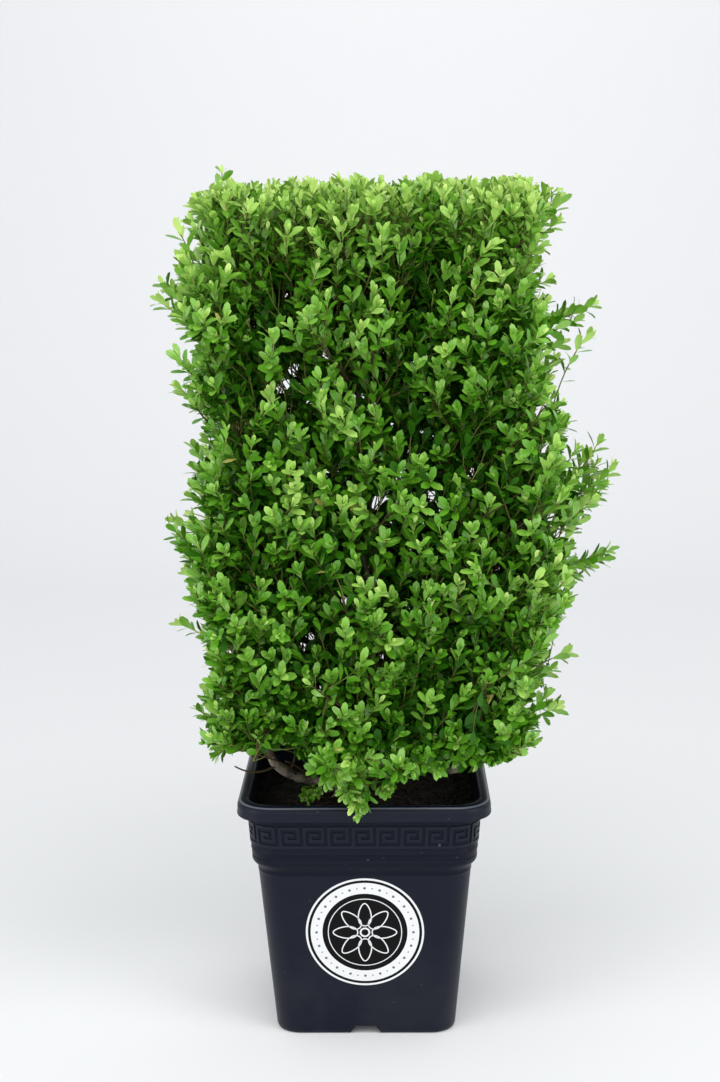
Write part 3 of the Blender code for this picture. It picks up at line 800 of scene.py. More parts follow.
# dark hollows between the shoots: two ends, half width, depth; these are on the front
frontHollows = [
    ((-0.068, 0.707), (-0.071, 0.679), 0.022, 0.05), ((-0.092, 0.658), (-0.095, 0.596), 0.013, 0.045),
    ((-0.052, 0.641), (-0.051, 0.583), 0.012, 0.04), ((0.052, 0.708), (0.042, 0.645), 0.013, 0.06),
    ((0.021, 0.614), (0.055, 0.566), 0.02, 0.055), ((-0.028, 0.547), (-0.02, 0.54), 0.014, 0.045),
    ((0.092, 0.551), (0.102, 0.544), 0.018, 0.045), ((0.119, 0.502), (0.118, 0.433), 0.01, 0.03),
    ((0.033, 0.489), (0.033, 0.446), 0.009, 0.04), ((-0.013, 0.475), (0.01, 0.475), 0.01, 0.035),
    ((-0.037, 0.432), (-0.031, 0.377), 0.013, 0.055), ((0.064, 0.354), (0.067, 0.352), 0.012, 0.04),
    ((0.054, 0.31), (0.054, 0.296), 0.011, 0.04), ((0.091, 0.317), (0.105, 0.32), 0.012, 0.04),
    ((0.108, 0.389), (0.11, 0.379), 0.011, 0.035), ((0.074, 0.732), (0.077, 0.728), 0.01, 0.035),
    ((0.126, 0.738), (0.126, 0.73), 0.01, 0.03), ((0.155, 0.503), (0.161, 0.5), 0.01, 0.03),
    ((-0.077, 0.444), (-0.077, 0.442), 0.011, 0.035), ((-0.107, 0.547), (-0.108, 0.537), 0.011, 0.035),
]
# small openings that show daylight right through, seen from the front, at the middle of the plant
skyGaps = [
    (-0.059, 0.606), (-0.061, 0.609), (-0.072, 0.591), (-0.031, 0.622), (-0.099, 0.651), (-0.068, 0.678),
    (-0.114, 0.555), (-0.018, 0.392), (0.012, 0.485), (-0.152, 0.476), (0.1, 0.512), (0.063, 0.492),
    (0.144, 0.463), (0.174, 0.471), (0.18, 0.455), (0.162, 0.57), (0.166, 0.535), (0.124, 0.424),
    (-0.05, 0.358), (-0.058, 0.35), (-0.043, 0.309), (0.016, 0.339), (-0.126, 0.345),
]
# lower edge of the leaves as the front shows it, 120 mm before the middle
footLine = [
    (-0.2, 0.3), (-0.15, 0.294), (-0.12, 0.284), (-0.089, 0.29), (-0.064, 0.292), (-0.051, 0.263),
    (-0.025, 0.24), (-0.007, 0.223), (0.019, 0.24), (0.052, 0.255), (0.08, 0.263), (0.103, 0.267),
    (0.13, 0.276), (0.16, 0.292), (0.22, 0.296),
]
# upper edge of the clipped leaves, seen the same way
headLine = [
    (-0.2, 0.75), (-0.153, 0.757), (-0.144, 0.764), (-0.136, 0.768), (-0.121, 0.77), (-0.118, 0.79),
    (-0.104, 0.788), (-0.1, 0.775), (-0.084, 0.777), (-0.052, 0.781), (-0.001, 0.784), (0.058, 0.784),
    (0.1, 0.783), (0.121, 0.786), (0.134, 0.782), (0.151, 0.777), (0.163, 0.773), (0.173, 0.768),
    (0.22, 0.76),
]
longShoots = {  # by column: tip, how steeply it rises
    "front_left": [
        ((-0.119, -0.05, 0.794), 1.5), ((-0.18, -0.045, 0.696), 0.6), ((-0.176, -0.05, 0.488), 0.6),
        ((-0.166, -0.045, 0.436), 0.4), ((-0.177, -0.045, 0.388), 0.3), ((-0.15, -0.05, 0.324), 0.2),
    ],
    "front_right": [
        ((0.179, -0.05, 0.779), 1.5), ((0.215, -0.03, 0.674), 0.6), ((0.188, -0.025, 0.664), 0.4),
        ((0.219, -0.03, 0.556), 1.7), ((0.232, -0.032, 0.533), 1.1), ((0.224, -0.035, 0.506), 0.5),
        ((0.206, -0.035, 0.48), 0.5), ((0.204, -0.04, 0.426), 0.2), ((0.234, -0.04, 0.452), 0.2),
        ((0.196, -0.035, 0.356), 0.4), ((0.189, -0.03, 0.304), 0.1),
    ],
    "back_right": [((0.188, 0.075, 0.69), 0.6), ((0.192, 0.06, 0.435), 0.6)],
    "back_left": [((-0.12, 0.07, 0.78), 1.5), ((-0.18, 0.06, 0.43), 0.6)],
}
lateTufts = [  # column, middle of the tips, their reach, way, how many
    ("front_centre", (-0.012, -0.119, 0.237), (0.011, 0.003, 0.007), (-0.1, -0.75, -0.6), 4),
    ("front_centre", (-0.006, -0.124, 0.2315), (0.0085, 0.0015, 0.004), (-0.2, -0.45, -0.8), 4),
    ("front_centre", (0.012, -0.106, 0.245), (0.012, 0.005, 0.006), (0.1, -0.8, -0.35), 5),
    ("front_centre", (-0.022, -0.11, 0.258), (0.014, 0.005, 0.008), (-0.2, -0.9, -0.1), 6),
    ("front_centre", (0.042, -0.106, 0.264), (0.016, 0.005, 0.006), (0.2, -0.85, -0.1), 6),
    ("back_centre", (0.025, 0.136, 0.242), (0.016, 0.005, 0.007), (0.1, 0.8, -0.45), 7),
    ("back_left", (-0.09, 0.134, 0.247), (0.015, 0.005, 0.006), (-0.2, 0.8, -0.4), 6),
    ("back_right", (0.108, 0.132, 0.244), (0.014, 0.006, 0.007), (0.3, 0.75, -0.45), 6),
    ("back_right", (0.148, 0.05, 0.248), (0.005, 0.016, 0.007), (0.8, 0.0, -0.45), 6),
    ("back_left", (-0.138, 0.06, 0.246), (0.005, 0.015, 0.007), (-0.8, 0.1, -0.45), 6),
    ("front_left", (-0.136, -0.02, 0.256), (0.005, 0.014, 0.006), (-0.8, 0.0, -0.4), 5),
]
bareTwigs = [  # share along the limb that shows, tip
    (0.3, (-0.07, -0.09, 0.266)), (0.52, (-0.102, -0.096, 0.276)), (0.62, (-0.062, -0.018, 0.28)),
    (0.74, (-0.09, -0.024, 0.29)), (0.84, (-0.116, -0.086, 0.26)),
]
bareSizes = (0.0013, 0.0007)
soilTuft = {
    "from": 0.34,  # share along the limb
    "tips": (-0.049, -0.048, 0.2185),
    "reach": (0.007, 0.005, 0.0035),
    "count": 6,
    "sizes": (0.001, 0.0005),
}
clear = {  # how near the leaves come
    "gap": 0.0051,
    "lineDepth": -0.12,
    "twigsOverLine": 0.004,
    "leavesUnderLine": 0.002,
    "leavesUnderRagged": 0.014,
    "hollowShare": 0.76,
    "hollowEdge": 0.012,
    "soil": (0.099, 0.2065),  # half width, height
    "rim": (0.119, 0.2325),
    "lowest": 0.17,
}
# hollows on the sides that the photo doesn't show: how many, then ranges
madeHollows = {
    "counts": {"left": 15, "right": 15, "back": 17, "top": 9},
    "sides": {"left": -0.145, "right": 0.16},
    "aside": 0.12,
    "heights": (0.29, 0.73),
    "run": 0.012,
    "climb": (0.004, 0.05),
    "topDepth": 0.11,
    "wide": (0.011, 0.021),
    "deep": (0.032, 0.06),
}
twigs = {
    "mainSpacing": 0.0765,
    "mainJitter": 0.012,
    "mainShy": 0.006,
    "rise": 0.7,
    "ends": 0.01,
    "kinds": [  # thickness and level; spacing, depths, length, points, leaves at most, if finely shaped, leaf size
        ("branchSizes", 2, (0.037, (0.02, 0.042), 0.06, 7, 16, True, 1.0)),
        ("shootSizes", 3, (0.0208, (0.06, 0.122), 0.05, 5, 10, False, 1.12)),
        ("shootSizes", 3, (0.021, (0.03, 0.056), 0.045, 5, 11, False, 1.02)),
        ("shootSizes", 3, (0.0167, (-0.002, 0.024), 0.054, 6, 14, True, 1.0)),
        ("shootSizes", 3, (0.016, (-0.004, 0.01), 0.04, 6, 8, True, 0.84)),
    ],
    "mainSizes": (0.0018, 0.0006),
    "branchSizes": (0.0012, 0.0006),
    "shootSizes": (0.0008, 0.0005),
}
leaf = {
    "length": 0.0161,
    "width": 0.0071,
    "turn": math.radians(137.5),
    "opening": (0.68, 1.22),
    "lost": 0.04,
    "upwards": 0.35,
    "tilt": 0.16,
    "lengths": (0.82, 1.14),
    "widths": (0.88, 1.12),
    "fold": (-0.16, 0.3),
    "toneSpread": 0.22,
    "young": 0.2,
    "yellow": 0.0014,
    "backs": (0.0, 0.0011, 0.0026, 0.0046, 0.007, 0.0098, 0.013, 0.0166, 0.0206, 0.025, 0.0298, 0.035, 0.0408,
              0.047, 0.054, 0.062),
    "leans": (12, 21, 29, 35, 39, 42, 44, 46, 48, 50, 52, 55, 58, 60, 62, 64),
    "sizes": (0.5, 0.62, 0.78, 0.9, 0.98, 1.0, 1.0, 1.0, 1.0, 0.98, 0.95, 0.92, 0.9, 0.9, 0.88, 0.85),
    "tints": {  # base colour, roughness, gloss
        "bud": ((0.54, 0.73, 0.2), 0.48, 0.36),
        "fresh": ((0.5, 0.71, 0.17), 0.4, 0.42),
        "bright": ((0.355, 0.6, 0.11), 0.35, 0.52),
        "mid": ((0.205, 0.455, 0.05), 0.31, 0.64),
        # deep and shade go mostly to leaves deep in the crown and in the hollows: painted shade
        "deep": ((0.105, 0.32, 0.014), 0.33, 0.5),
        "shade": ((0.024, 0.115, 0.003), 0.46, 0.18),
        "old": ((0.56, 0.52, 0.13), 0.5, 0.4),
    },
}
tintNames = list(leaf["tints"])
leafShape = {  # station along the leaf, half width, lift of the midrib
    "fine": [(0.0, 0.0, 0.0), (0.22, 0.5, 0.04), (0.55, 1.0, 0.06), (0.86, 0.74, 0.022), (1.0, 0.0, -0.02)],
    "plain": [(0.0, 0.0, 0.0), (0.38, 0.84, 0.05), (0.78, 0.9, 0.03), (1.0, 0.0, -0.015)],
}


def trunkCentre(height):
    part = (height - limbs["soilTop"]) / limbs["trunkHigh"]
    x, y = limbs["trunkPlace"]
    return Vector((x + limbs["trunkLean"] * part, y + 0.5 * limbs["trunkLean"] * part, height))


def trunkRadius(height, angle):
    rise = height - limbs["soilTop"]
    flare = max(0.0, 1.0 - rise / limbs["flareHigh"]) ** 2
    lobe = 1.0 + limbs["lobeDepth"] * flare * math.cos(limbs["rootLobes"] * angle)
    return (limbs["trunkRadius"] + (limbs["flareRadius"] - limbs["trunkRadius"]) * flare) * lobe


def columnAxis(name, heights):
    foot, head = columns[name]
    part = (np.asarray(heights) - crown["axisFoot"]) / (crown["axisTop"] - crown["axisFoot"])
    return np.stack([a + (b - a) * part for a, b in zip(foot, head)] + [heights], -1)


def ownColumn(points):
    away = [np.linalg.norm(points[:, :2] - columnAxis(name, points[:, 2])[:, :2], axis=1) for name in columnNames]
    return np.argmin(away, axis=0)


def planBough(name):
    heading, rise, slope = limbs["feet"][name]
    heading = math.radians(heading)
    out = Vector((math.cos(heading), math.sin(heading), 0))
    height = limbs["soilTop"] + limbs["trunkHigh"] * rise
    foot = trunkCentre(height) + out * trunkRadius(height - limbs["boughFoot"], heading)
    axis = columnAxis(name, limbs["boughTipHeight"])
    share = limbs["boughTipShare"]
    tip = Vector((axis[0] * share[0], axis[1] * share[1], limbs["boughTipHeight"]))
    tipWay = (Vector(columnAxis(name, limbs["boughTipHeight"] + limbs["stemAim"])) - tip).normalized()
    bend = (tip - foot).length * limbs["boughBend"]
    start = foot + (out + Vector((0, 0, slope))).normalized() * bend
    end = tip - tipWay * bend
    if name == "front_left":  # the one that shows stands straighter
        start, end = start.lerp(foot, limbs["straighten"]), end.lerp(tip, limbs["straighten"])
    return foot, start, end, tip, out


def onLimb(t, foot, start, end, tip):
    # places along a bough, from 0 at its foot to 1 at its tip
    foot, start, end, tip = (np.array(point) for point in (foot, start, end, tip))
    return (1 - t) ** 3 * foot + 3 * (1 - t) ** 2 * t * start + 3 * (1 - t) * t * t * end + t ** 3 * tip


def crownDepth(points):
    # distance from the clipped block's surface, negative inside
    heights, lefts, rights = np.array(crown["edges"]).T
    left = np.interp(points[:, 2], heights, lefts)
    right = np.interp(points[:, 2], heights, rights)
    middle = (crown["foot"] + crown["top"]) / 2
    corner = crown["corner"]
    rises, front, back = np.array(crown["swell"]).T
    swell = np.where(points[:, 1] < 0, np.interp(points[:, 2], rises, front), np.interp(points[:, 2], rises, back))
    away = np.stack([
        np.abs(points[:, 0] - (left + right) / 2) - ((right - left) / 2 - corner),
        np.abs(points[:, 1]) - (crown["halfDepth"] + swell - corner),
        np.abs(points[:, 2] - middle) - ((crown["top"] - crown["foot"]) / 2 - corner),
    ], 1)
    outer = np.linalg.norm(np.maximum(away, 0), axis=1)
    return outer + np.minimum(away.max(axis=1), 0) - corner


def crownSlope(points):
    step = 0.001
    depth = crownDepth(points)
    slope = [crownDepth(points + np.eye(3)[i] * step) - depth for i in range(3)]
    return unit(np.stack(slope, 1))


def facePoints(spacing, jitter, rng, inside, withFoot=True):
    # staggered rows of points on the block's faces, then drawn onto its surface
    low = np.array([crown["span"][0], -crown["halfDepth"], crown["foot"]])
    high = np.array([crown["span"][1], crown["halfDepth"], crown["top"]])
    middle = (low + high) / 2
    x, y, z = np.diag((high - low) / 2)
    faces = [(-y, x, z), (y, -x, z), (-x, -y, z), (x, y, z), (z, x, y), (-z, x, -y)]
    points = []
    for out, across, up in faces[:6 if withFoot else 5]:
        rows, wide = (round(2 * float(np.linalg.norm(edge)) / spacing) for edge in (up, across))
        row, place = np.meshgrid(np.arange(rows), np.arange(wide), indexing="ij")
        u = (place + 0.5 + 0.25 * (-1.0) ** row) / wide * 2 - 1
        v = (row + 0.5) / rows * 2 - 1
        points.append((middle + out + u[..., None] * across + v[..., None] * up).reshape(-1, 3))
    points = np.concatenate(points)
    points = points + rng.uniform(-jitter, jitter, points.shape)
    for _ in range(6):
        points = points - crownSlope(points) * (crownDepth(points) + inside)[:, None]
    return points


def seenAt(points, depth):
    # where the front view sees points on the upright plane at one depth
    eye = np.array(cameraPlan["place"])
    share = (depth - eye[1]) / (points[..., 1] - eye[1])
    return eye[[0, 2]] + (points[..., [0, 2]] - eye[[0, 2]]) * share[..., None]


def overLine(points, line):
    # how far points stand over a line that the front shows
    seen = seenAt(points, clear["lineDepth"])
    return seen[:, 1] - np.interp(seen[:, 0], *np.array(line).T)


def makeHollows():
    # two ends, half width and depth of each
    front = -crown["halfDepth"]
    hollows = [((a[0], front, a[1]), (b[0], front, b[1]), wide, deep * 1.15) for a, b, wide, deep in frontHollows]
    rng = np.random.default_rng(31)
    made = madeHollows
    for side, count in made["counts"].items():
        for _ in range(count):
            aside = rng.uniform(-made["aside"], made["aside"])
            height = rng.uniform(*made["heights"])
            run, climb = rng.uniform(-made["run"], made["run"]), rng.uniform(*made["climb"])
            if side == "back":
                ends = [(aside, -front, height), (aside + run, -front, height - climb)]
            elif side == "top":
                depth = rng.uniform(-made["topDepth"], made["topDepth"])
                ends = [(aside, depth, crown["top"]), (aside + climb * 0.6, depth + run, crown["top"])]
            else:
                x = made["sides"][side]
                ends = [(x, aside, height), (x, aside + run, height - climb)]
            hollows.append((*ends, rng.uniform(*made["wide"]), rng.uniform(*made["deep"])))
    return hollows


hollows = makeHollows()


def hollowDepth(points):
    # how far the leaves stand back at each place of the surface
    deep = np.zeros(len(points))
    for first, second, wide, depth in hollows:
        first, second = np.array(first), np.array(second)
        run = second - first
        part = np.clip((points - first) @ run / max(float(run @ run), 1e-9), 0, 1)
        away = points - (first + part[:, None] * run)
        if abs(first[1]) > 0.14:  # front and back, where the sprays overlap in depth
            away[:, 1] *= 0.5
        distance = np.linalg.norm(away, axis=1)
        deep = np.maximum(deep, depth * np.exp(-((distance / wide) ** 3)))
    return deep


def noiseAt(points, size, shift):
    return np.array([noise.noise(Vector(p) / size + Vector(shift)) for p in points])


def raggedFoot(points):
    # uneven lower edge at the sides and the back; the front has its own line
    lift = np.array([noise.noise(Vector((p[0] / 0.045, p[1] / 0.045, 5.0))) for p in points])
    return np.where(points[:, 1] > -0.06, crown["raggedFoot"] + crown["raggedBy"] * lift, 0.0)


def spread(points, depths, rng, hollowShare=1.0):
    # sends surface points inwards to where the shoots end
    slope = crownSlope(points)
    inside = rng.uniform(depths[0], depths[1], len(points))
    even = 1 - crown["topEven"] * (slope[:, 2] > 0.8)  # the top is clipped flat
    lump = noiseAt(points, crown["lumpSize"], (7.0, 0, 0)) * even + crown["lumpMean"]
    inside += crown["lump"] * lump + hollowShare * hollowDepth(points)
    proud = rng.random(len(points)) < crown["proudShare"] * even
    inside = np.where(proud, inside - rng.uniform(*crown["proudBy"], len(points)), inside)
    return points - slope * inside[:, None], slope, inside


def shootWays(slope, rng, rise=0.75, wild=0.38):
    up = np.array([0.0, 0.0, 1.0])
    ways = slope * 0.74 + up * rise * (0.3 + 0.7 * (slope[:, 2:3] > -0.5)) + rng.normal(0, wild, slope.shape)
    return unit(ways)


class Growth:
    # all twigs so far: points where finer ones may start
    def __init__(self):
        self.starts, self.tubes, self.parents, self.count = [], [], [], 0

    def add(self, paths, sizes, column, level, parents=None):
        each = paths.shape[1] - 1
        way = unit(np.gradient(paths, axis=1))
        numbers = self.count + np.arange(len(paths))
        self.starts.append((
            paths[:, 1:].reshape(-1, 3), way[:, 1:].reshape(-1, 3), sizes[:, 1:].reshape(-1),
            np.repeat(column, each), np.repeat(numbers, each),
        ))
        self.count += len(paths)
        self.parents.append(np.full(len(paths), -1) if parents is None else parents)
        self.tubes.append((paths, sizes, column, level))

    def nodes(self):
        # places, ways, sizes, columns and twig numbers
        return [np.concatenate(values) for values in zip(*self.starts)]


def growOn(growth, tips, ways, column, want, steps, sizes, level, rng, back=0.06):
    # each shoot leaves the twig that reaches it best and bends into its own way
    place, nodeWay, nodeSize, nodeColumn, nodeTwig = growth.nodes()
    parent = np.zeros(len(tips), int)
    for c in range(len(columnNames)):
        own = np.flatnonzero(column == c)
        near = np.flatnonzero(nodeColumn == c)
        run = tips[own, None] - place[None, near]
        length = np.linalg.norm(run, axis=2)
        along = np.sum(run * ways[own, None], axis=2) / np.maximum(length, 1e-6)
        rising = run[..., 2] / np.maximum(length, 1e-6)
        cost = np.abs(length - want) + back * (1 - along) + 0.025 * np.maximum(0, 0.1 - rising)
        cost = cost + rng.uniform(0, 0.014, cost.shape)
        parent[own] = near[np.argmin(cost, axis=1)]
    start = place[parent]
    length = np.linalg.norm(tips - start, axis=1)[:, None]
    bend = tips - ways * length * 0.45 + nodeWay[parent] * length * 0.08
    paths = curves(start, bend, tips, steps)
    foot = np.minimum(sizes[0], nodeSize[parent] * 0.9)
    foot = np.maximum(foot, sizes[1] * 1.05)
    thick = foot[:, None] + (sizes[1] - foot[:, None]) * np.linspace(0, 1, steps)[None]
    growth.add(paths, thick, column, level, nodeTwig[parent])
    return paths


def placeLeaves(growth, paths, column, bare, tone, rng, fine=True, most=13, scale=1.0, free=False):
    # leaves by the golden turn, from the tip of each shoot downwards
    count, steps = paths.shape[:2]
    first = growth.count - count
    t = np.linspace(0, 1, steps)
    fineT = np.linspace(0, 1, 16)
    dense = np.stack([np.stack([np.interp(fineT, t, path[:, i]) for i in range(3)], 1) for path in paths])
    flipped = dense[:, ::-1]
    run = np.concatenate([
        np.zeros((count, 1)), np.cumsum(np.linalg.norm(np.diff(flipped, axis=1), axis=2), axis=1)
    ], axis=1)
    spin = rng.uniform(0, 2 * np.pi, count)
    opening = rng.uniform(*leaf["opening"], count)
    parts = []
    for i in range(most):
        back = leaf["backs"][i] * rng.uniform(0.88, 1.12, count)
        keep = np.flatnonzero((back < run[:, -1] * (1 - bare)) & (rng.random(count) > leaf["lost"]))
        step = np.clip((run[keep] < back[keep, None]).sum(axis=1), 1, 15)
        low, high = run[keep, step - 1], run[keep, step]
        share = (back[keep] - low) / np.maximum(high - low, 1e-9)
        root = flipped[keep, step - 1] * (1 - share[:, None]) + flipped[keep, step] * share[:, None]
        way = unit(flipped[keep, step - 1] - flipped[keep, step])
        side = acrossOf(way)
        other = np.cross(way, side)
        angle = spin[keep] + i * leaf["turn"] + rng.normal(0, 0.15, len(keep))
        out = side * np.cos(angle)[:, None] + other * np.sin(angle)[:, None]
        lean = np.radians(leaf["leans"][i]) * opening[keep] * rng.uniform(0.85, 1.15, len(keep))
        leafWay = way * np.cos(lean)[:, None] + out * np.sin(lean)[:, None]
        top = way * np.sin(lean)[:, None] - out * np.cos(lean)[:, None]
        top = top + np.array([0, 0, leaf["upwards"]]) + rng.normal(0, leaf["tilt"], top.shape)
        top = unit(top - leafWay * np.sum(top * leafWay, axis=1, keepdims=True))
        length = leaf["length"] * leaf["sizes"][i] * scale * rng.uniform(*leaf["lengths"], len(keep))
        shift = -1 if i < 2 else (0 if i < 7 else 1)
        parts.append({
            "root": root, "way": leafWay, "top": top, "length": length,
            "width": length * leaf["width"] / leaf["length"] * rng.uniform(*leaf["widths"], len(keep)),
            "fold": rng.uniform(*leaf["fold"], len(keep)), "column": column[keep],
            "tone": tone[keep] + shift + rng.normal(0, leaf["toneSpread"], len(keep)),
            "fine": np.full(len(keep), fine), "bud": np.full(len(keep), i < 3),
            "free": np.full(len(keep), free), "twig": first + keep,
        })
    return {key: np.concatenate([part[key] for part in parts]) for key in parts[0]}


def toneWithPaintedShade(points, inside, rng):
    # 1 fresh, 2 bright, 3 mid, 4 deep, 5 shade: lighter at the top, partly young growth and partly painted light from
    # above; darker deeper inside and in the hollows, painted shade
    high = np.interp(points[:, 2], [0.25, 0.45, 0.66, 0.74, 0.77], [3.15, 3.0, 2.8, 2.0, 1.65])
    drift = noiseAt(points, 0.035, (0, 19.0, 0))
    # the depth inside darkens the tone: painted shade
    return high + 36 * np.clip(inside, 0, 0.06) + 0.9 * drift + rng.normal(0, 0.35, len(points)) - 0.15


def growCrown():
    growth = Growth()
    leaves = []
    rng = np.random.default_rng(20)

    def leafOut(paths, column, bare, tone, **options):
        leaves.append(placeLeaves(growth, paths, column, bare, tone, rng, **options))

    # stems, each going on from its bough
    for c, name in enumerate(columnNames):
        tip = planBough(name)[3]
        heights = np.linspace(limbs["boughTipHeight"], limbs["stemTop"], limbs["stemSteps"])
        path = columnAxis(name, heights)
        ease = (1 - np.clip((heights - heights[0]) / limbs["stemEase"], 0, 1)) ** 2
        path[:, :2] += (np.array(tip)[:2] - path[0, :2]) * ease[:, None]
        path[:, 0] += limbs["stemSway"] * np.sin(heights * 61 + c) * (1 - ease)
        path[:, 1] += limbs["stemSway"] * np.cos(heights * 53 + 2 * c) * (1 - ease)
        sizes = np.interp(heights, [heights[0], heights[-1]], [limbs["boughTip"], limbs["stemTopRadius"]])
        growth.add(path[None], sizes[None], np.array([c]), 0)

    # main twigs by the source's rule
    targets = facePoints(twigs["mainSpacing"], twigs["mainJitter"], rng, twigs["mainShy"], False)
    targets = targets - crownSlope(targets) * hollowDepth(targets)[:, None]
    column = ownColumn(targets)
    place, _, _, owner, number = growth.nodes()
    start = np.empty_like(targets)
    parents = np.zeros(len(targets), int)
    for i, target in enumerate(targets):
        axis = columnAxis(columnNames[column[i]], target[2])
        aside = np.linalg.norm(target - axis)
        low = limbs["boughTipHeight"] + twigs["ends"]
        height = np.clip(target[2] - twigs["rise"] * aside, low, limbs["stemTop"] - twigs["ends"])
        own = np.flatnonzero(owner == column[i])
        nearest = own[np.argmin(np.abs(place[own, 2] - height))]
        start[i], parents[i] = place[nearest], number[nearest]
    ways = shootWays(crownSlope(targets), rng, 0.8, 0.2)
    reach = np.linalg.norm(targets - start, axis=1)[:, None]
    bend = (start + targets) / 2 + rng.normal(0, 0.05, targets.shape) * reach
    bend[:, 2] += np.where(targets[:, 2] < 0.34, 0.1, -0.1) * reach[:, 0]
    paths = curves(start, bend, targets, 9)
    growth.add(paths, taper(*twigs["mainSizes"], 9, len(paths)), column, 1, parents)
    leafOut(paths, column, 0.2, toneWithPaintedShade(targets, 0.006, rng), most=16)

    # long shoots that stand out of the clipped outline
    for owner, target, rise in ((owner, *shoot) for owner, shoots in longShoots.items() for shoot in shoots):
        out = unit(np.array(target) - columnAxis(owner, target[2]))
        ways = unit(out + np.array([0, 0, rise]) + rng.normal(0, 0.14, (5, 3)))
        tips = np.array(target) - ways * 0.013
        for k in range(1, 5):
            tips[k] += -ways[0] * rng.uniform(0.01, 0.04) + rng.normal(0, 0.008, 3)
        column = np.full(len(tips), columnNames.index(owner))
        paths = growOn(growth, tips, ways, column, 0.075, 8, twigs["branchSizes"], 3, rng, 0.03)
        leafOut(paths, column, 0.1, rng.normal(2.2, 0.4, len(tips)), most=16, free=True)

    # branchlets, then leafy shoots inside and at the surface
    for kind, level, (spacing, depths, want, steps, most, fine, scale) in twigs["kinds"]:
        sizes = twigs[kind]
        points = facePoints(spacing, spacing * 0.34, rng, 0.0)
        if scale < 1:
            points = points[points[:, 2] > crown["top"] - 0.012]
        share = 0.15 if level == 2 or not fine else 1.0
        tips, slope, inside = spread(points, depths, rng, share)
        half, height = crown["overRim"]
        keep = (overLine(tips, footLine) > clear["twigsOverLine"]) & (tips[:, 2] > crown["lowestTwig"])
        keep &= (np.abs(tips[:, :2]).max(axis=1) > half) | (tips[:, 2] > height)
        keep &= tips[:, 2] > raggedFoot(tips)
        tips, slope, inside = tips[keep], slope[keep], inside[keep]
        column = ownColumn(tips)
        ways = shootWays(slope, rng, 0.92, 0.27)
        paths = growOn(growth, tips, ways, column, want, steps, sizes, level, rng)
        leafOut(paths, column, 0.12, toneWithPaintedShade(tips, inside, rng), fine=fine, most=most, scale=scale)
        print("  level", level, len(tips), "twigs")

    # leafy tufts at the lower edge and over the rim
    for owner, middle, reach, way, count in lateTufts:
        tips = np.array(middle) + np.array(reach) * rng.uniform(-1, 1, (count, 3))
        ways = unit(np.array(way) + rng.normal(0, 0.22, (count, 3)))
        column = np.full(count, columnNames.index(owner))
        paths = growOn(growth, tips, ways, column, 0.032, 7, twigs["shootSizes"], 3, rng, 0.03)
        leafOut(paths, column, 0.05, rng.normal(3.0, 0.35, count), most=12, scale=0.82, free=True)

    # a tuft on the soil and bare twigs, from the limb that shows
    limb = planBough("front_left")[:4]
    count = soilTuft["count"]
    tips = np.array(soilTuft["tips"]) + np.array(soilTuft["reach"]) * rng.uniform(-1, 1, (count, 3))
    roots = np.repeat(onLimb(soilTuft["from"], *limb)[None], count, 0)
    column = np.zeros(count, int)
    paths = curves(roots, (roots + tips) / 2 - np.array([0, 0, 0.003]), tips, 7)
    growth.add(paths, taper(*soilTuft["sizes"], 7, count), column, 3)
    leafOut(paths, column, 0.35, rng.normal(3.0, 0.35, count), most=10, scale=0.62, free=True)
    roots = np.array([onLimb(share, *limb) for share, _ in bareTwigs])
    tips = np.array([tip for _, tip in bareTwigs])
    paths = curves(roots, (roots + tips) / 2 + rng.normal(0, 0.006, tips.shape), tips, 9)
    growth.add(paths, taper(*bareSizes, 9, len(tips)), np.zeros(len(tips), int), 1)
    return growth, {key: np.concatenate([part[key] for part in leaves]) for key in leaves[0]}


def thinLeaves(leaves):
    # daylight gaps, hollows, the lower edge and the pot stay clear of leaves
    root, way, length, free = leaves["root"], leaves["way"], leaves["length"][:, None], leaves["free"]
    middle = root + way * length * 0.55
    tip = root + way * length
    keep = np.ones(len(root), bool)
    for point in (root, middle, tip):
        seen = seenAt(point, 0.0)
        for gap in skyGaps:
            keep &= np.linalg.norm(seen - np.array(gap), axis=1) > clear["gap"]
    inside = -crownDepth(middle)
    surface = middle + crownSlope(middle) * inside[:, None]
    clipped = overLine(tip, footLine) > -clear["leavesUnderLine"]
    clipped &= tip[:, 2] > raggedFoot(tip) - clear["leavesUnderRagged"]
    clipped &= inside > hollowDepth(surface) * clear["hollowShare"] - clear["hollowEdge"]
    keep &= (clipped | free) & (overLine(tip, headLine) < 0)
    (bed, soilTop), (rim, rimTop) = clear["soil"], clear["rim"]
    for point in (middle, tip):
        aside = np.abs(point[:, :2]).max(axis=1)
        keep &= np.where(aside < bed, point[:, 2] > soilTop, (aside > rim) | (point[:, 2] > rimTop))
        keep &= point[:, 2] > clear["lowest"]
    return {key: value[keep] for key, value in leaves.items()}


def pruneTwigs(growth, before, after):
    # twigs that lost most of their leaves go, unless others grow on from them
    had = np.bincount(before["twig"], minlength=growth.count)
    kept = np.bincount(after["twig"], minlength=growth.count)
    parents = np.concatenate(growth.parents)
    bare = (had > 0) & (kept < 0.66 * had)
    stays = np.ones(growth.count, bool)
    for _ in range(8):
        used = parents[stays & (parents >= 0)]
        stays &= ~(bare & (np.bincount(used, minlength=growth.count) == 0))
    first = 0
    for i, (paths, sizes, column, level) in enumerate(growth.tubes):
        own = stays[first:first + len(paths)]
        first += len(paths)
        growth.tubes[i] = (paths[own], sizes[own], column[own], level)
    print("  pruned", int((~stays).sum()), "of", growth.count, "twigs")
    own = stays[after["twig"]]
    return {key: value[own] for key, value in after.items()}


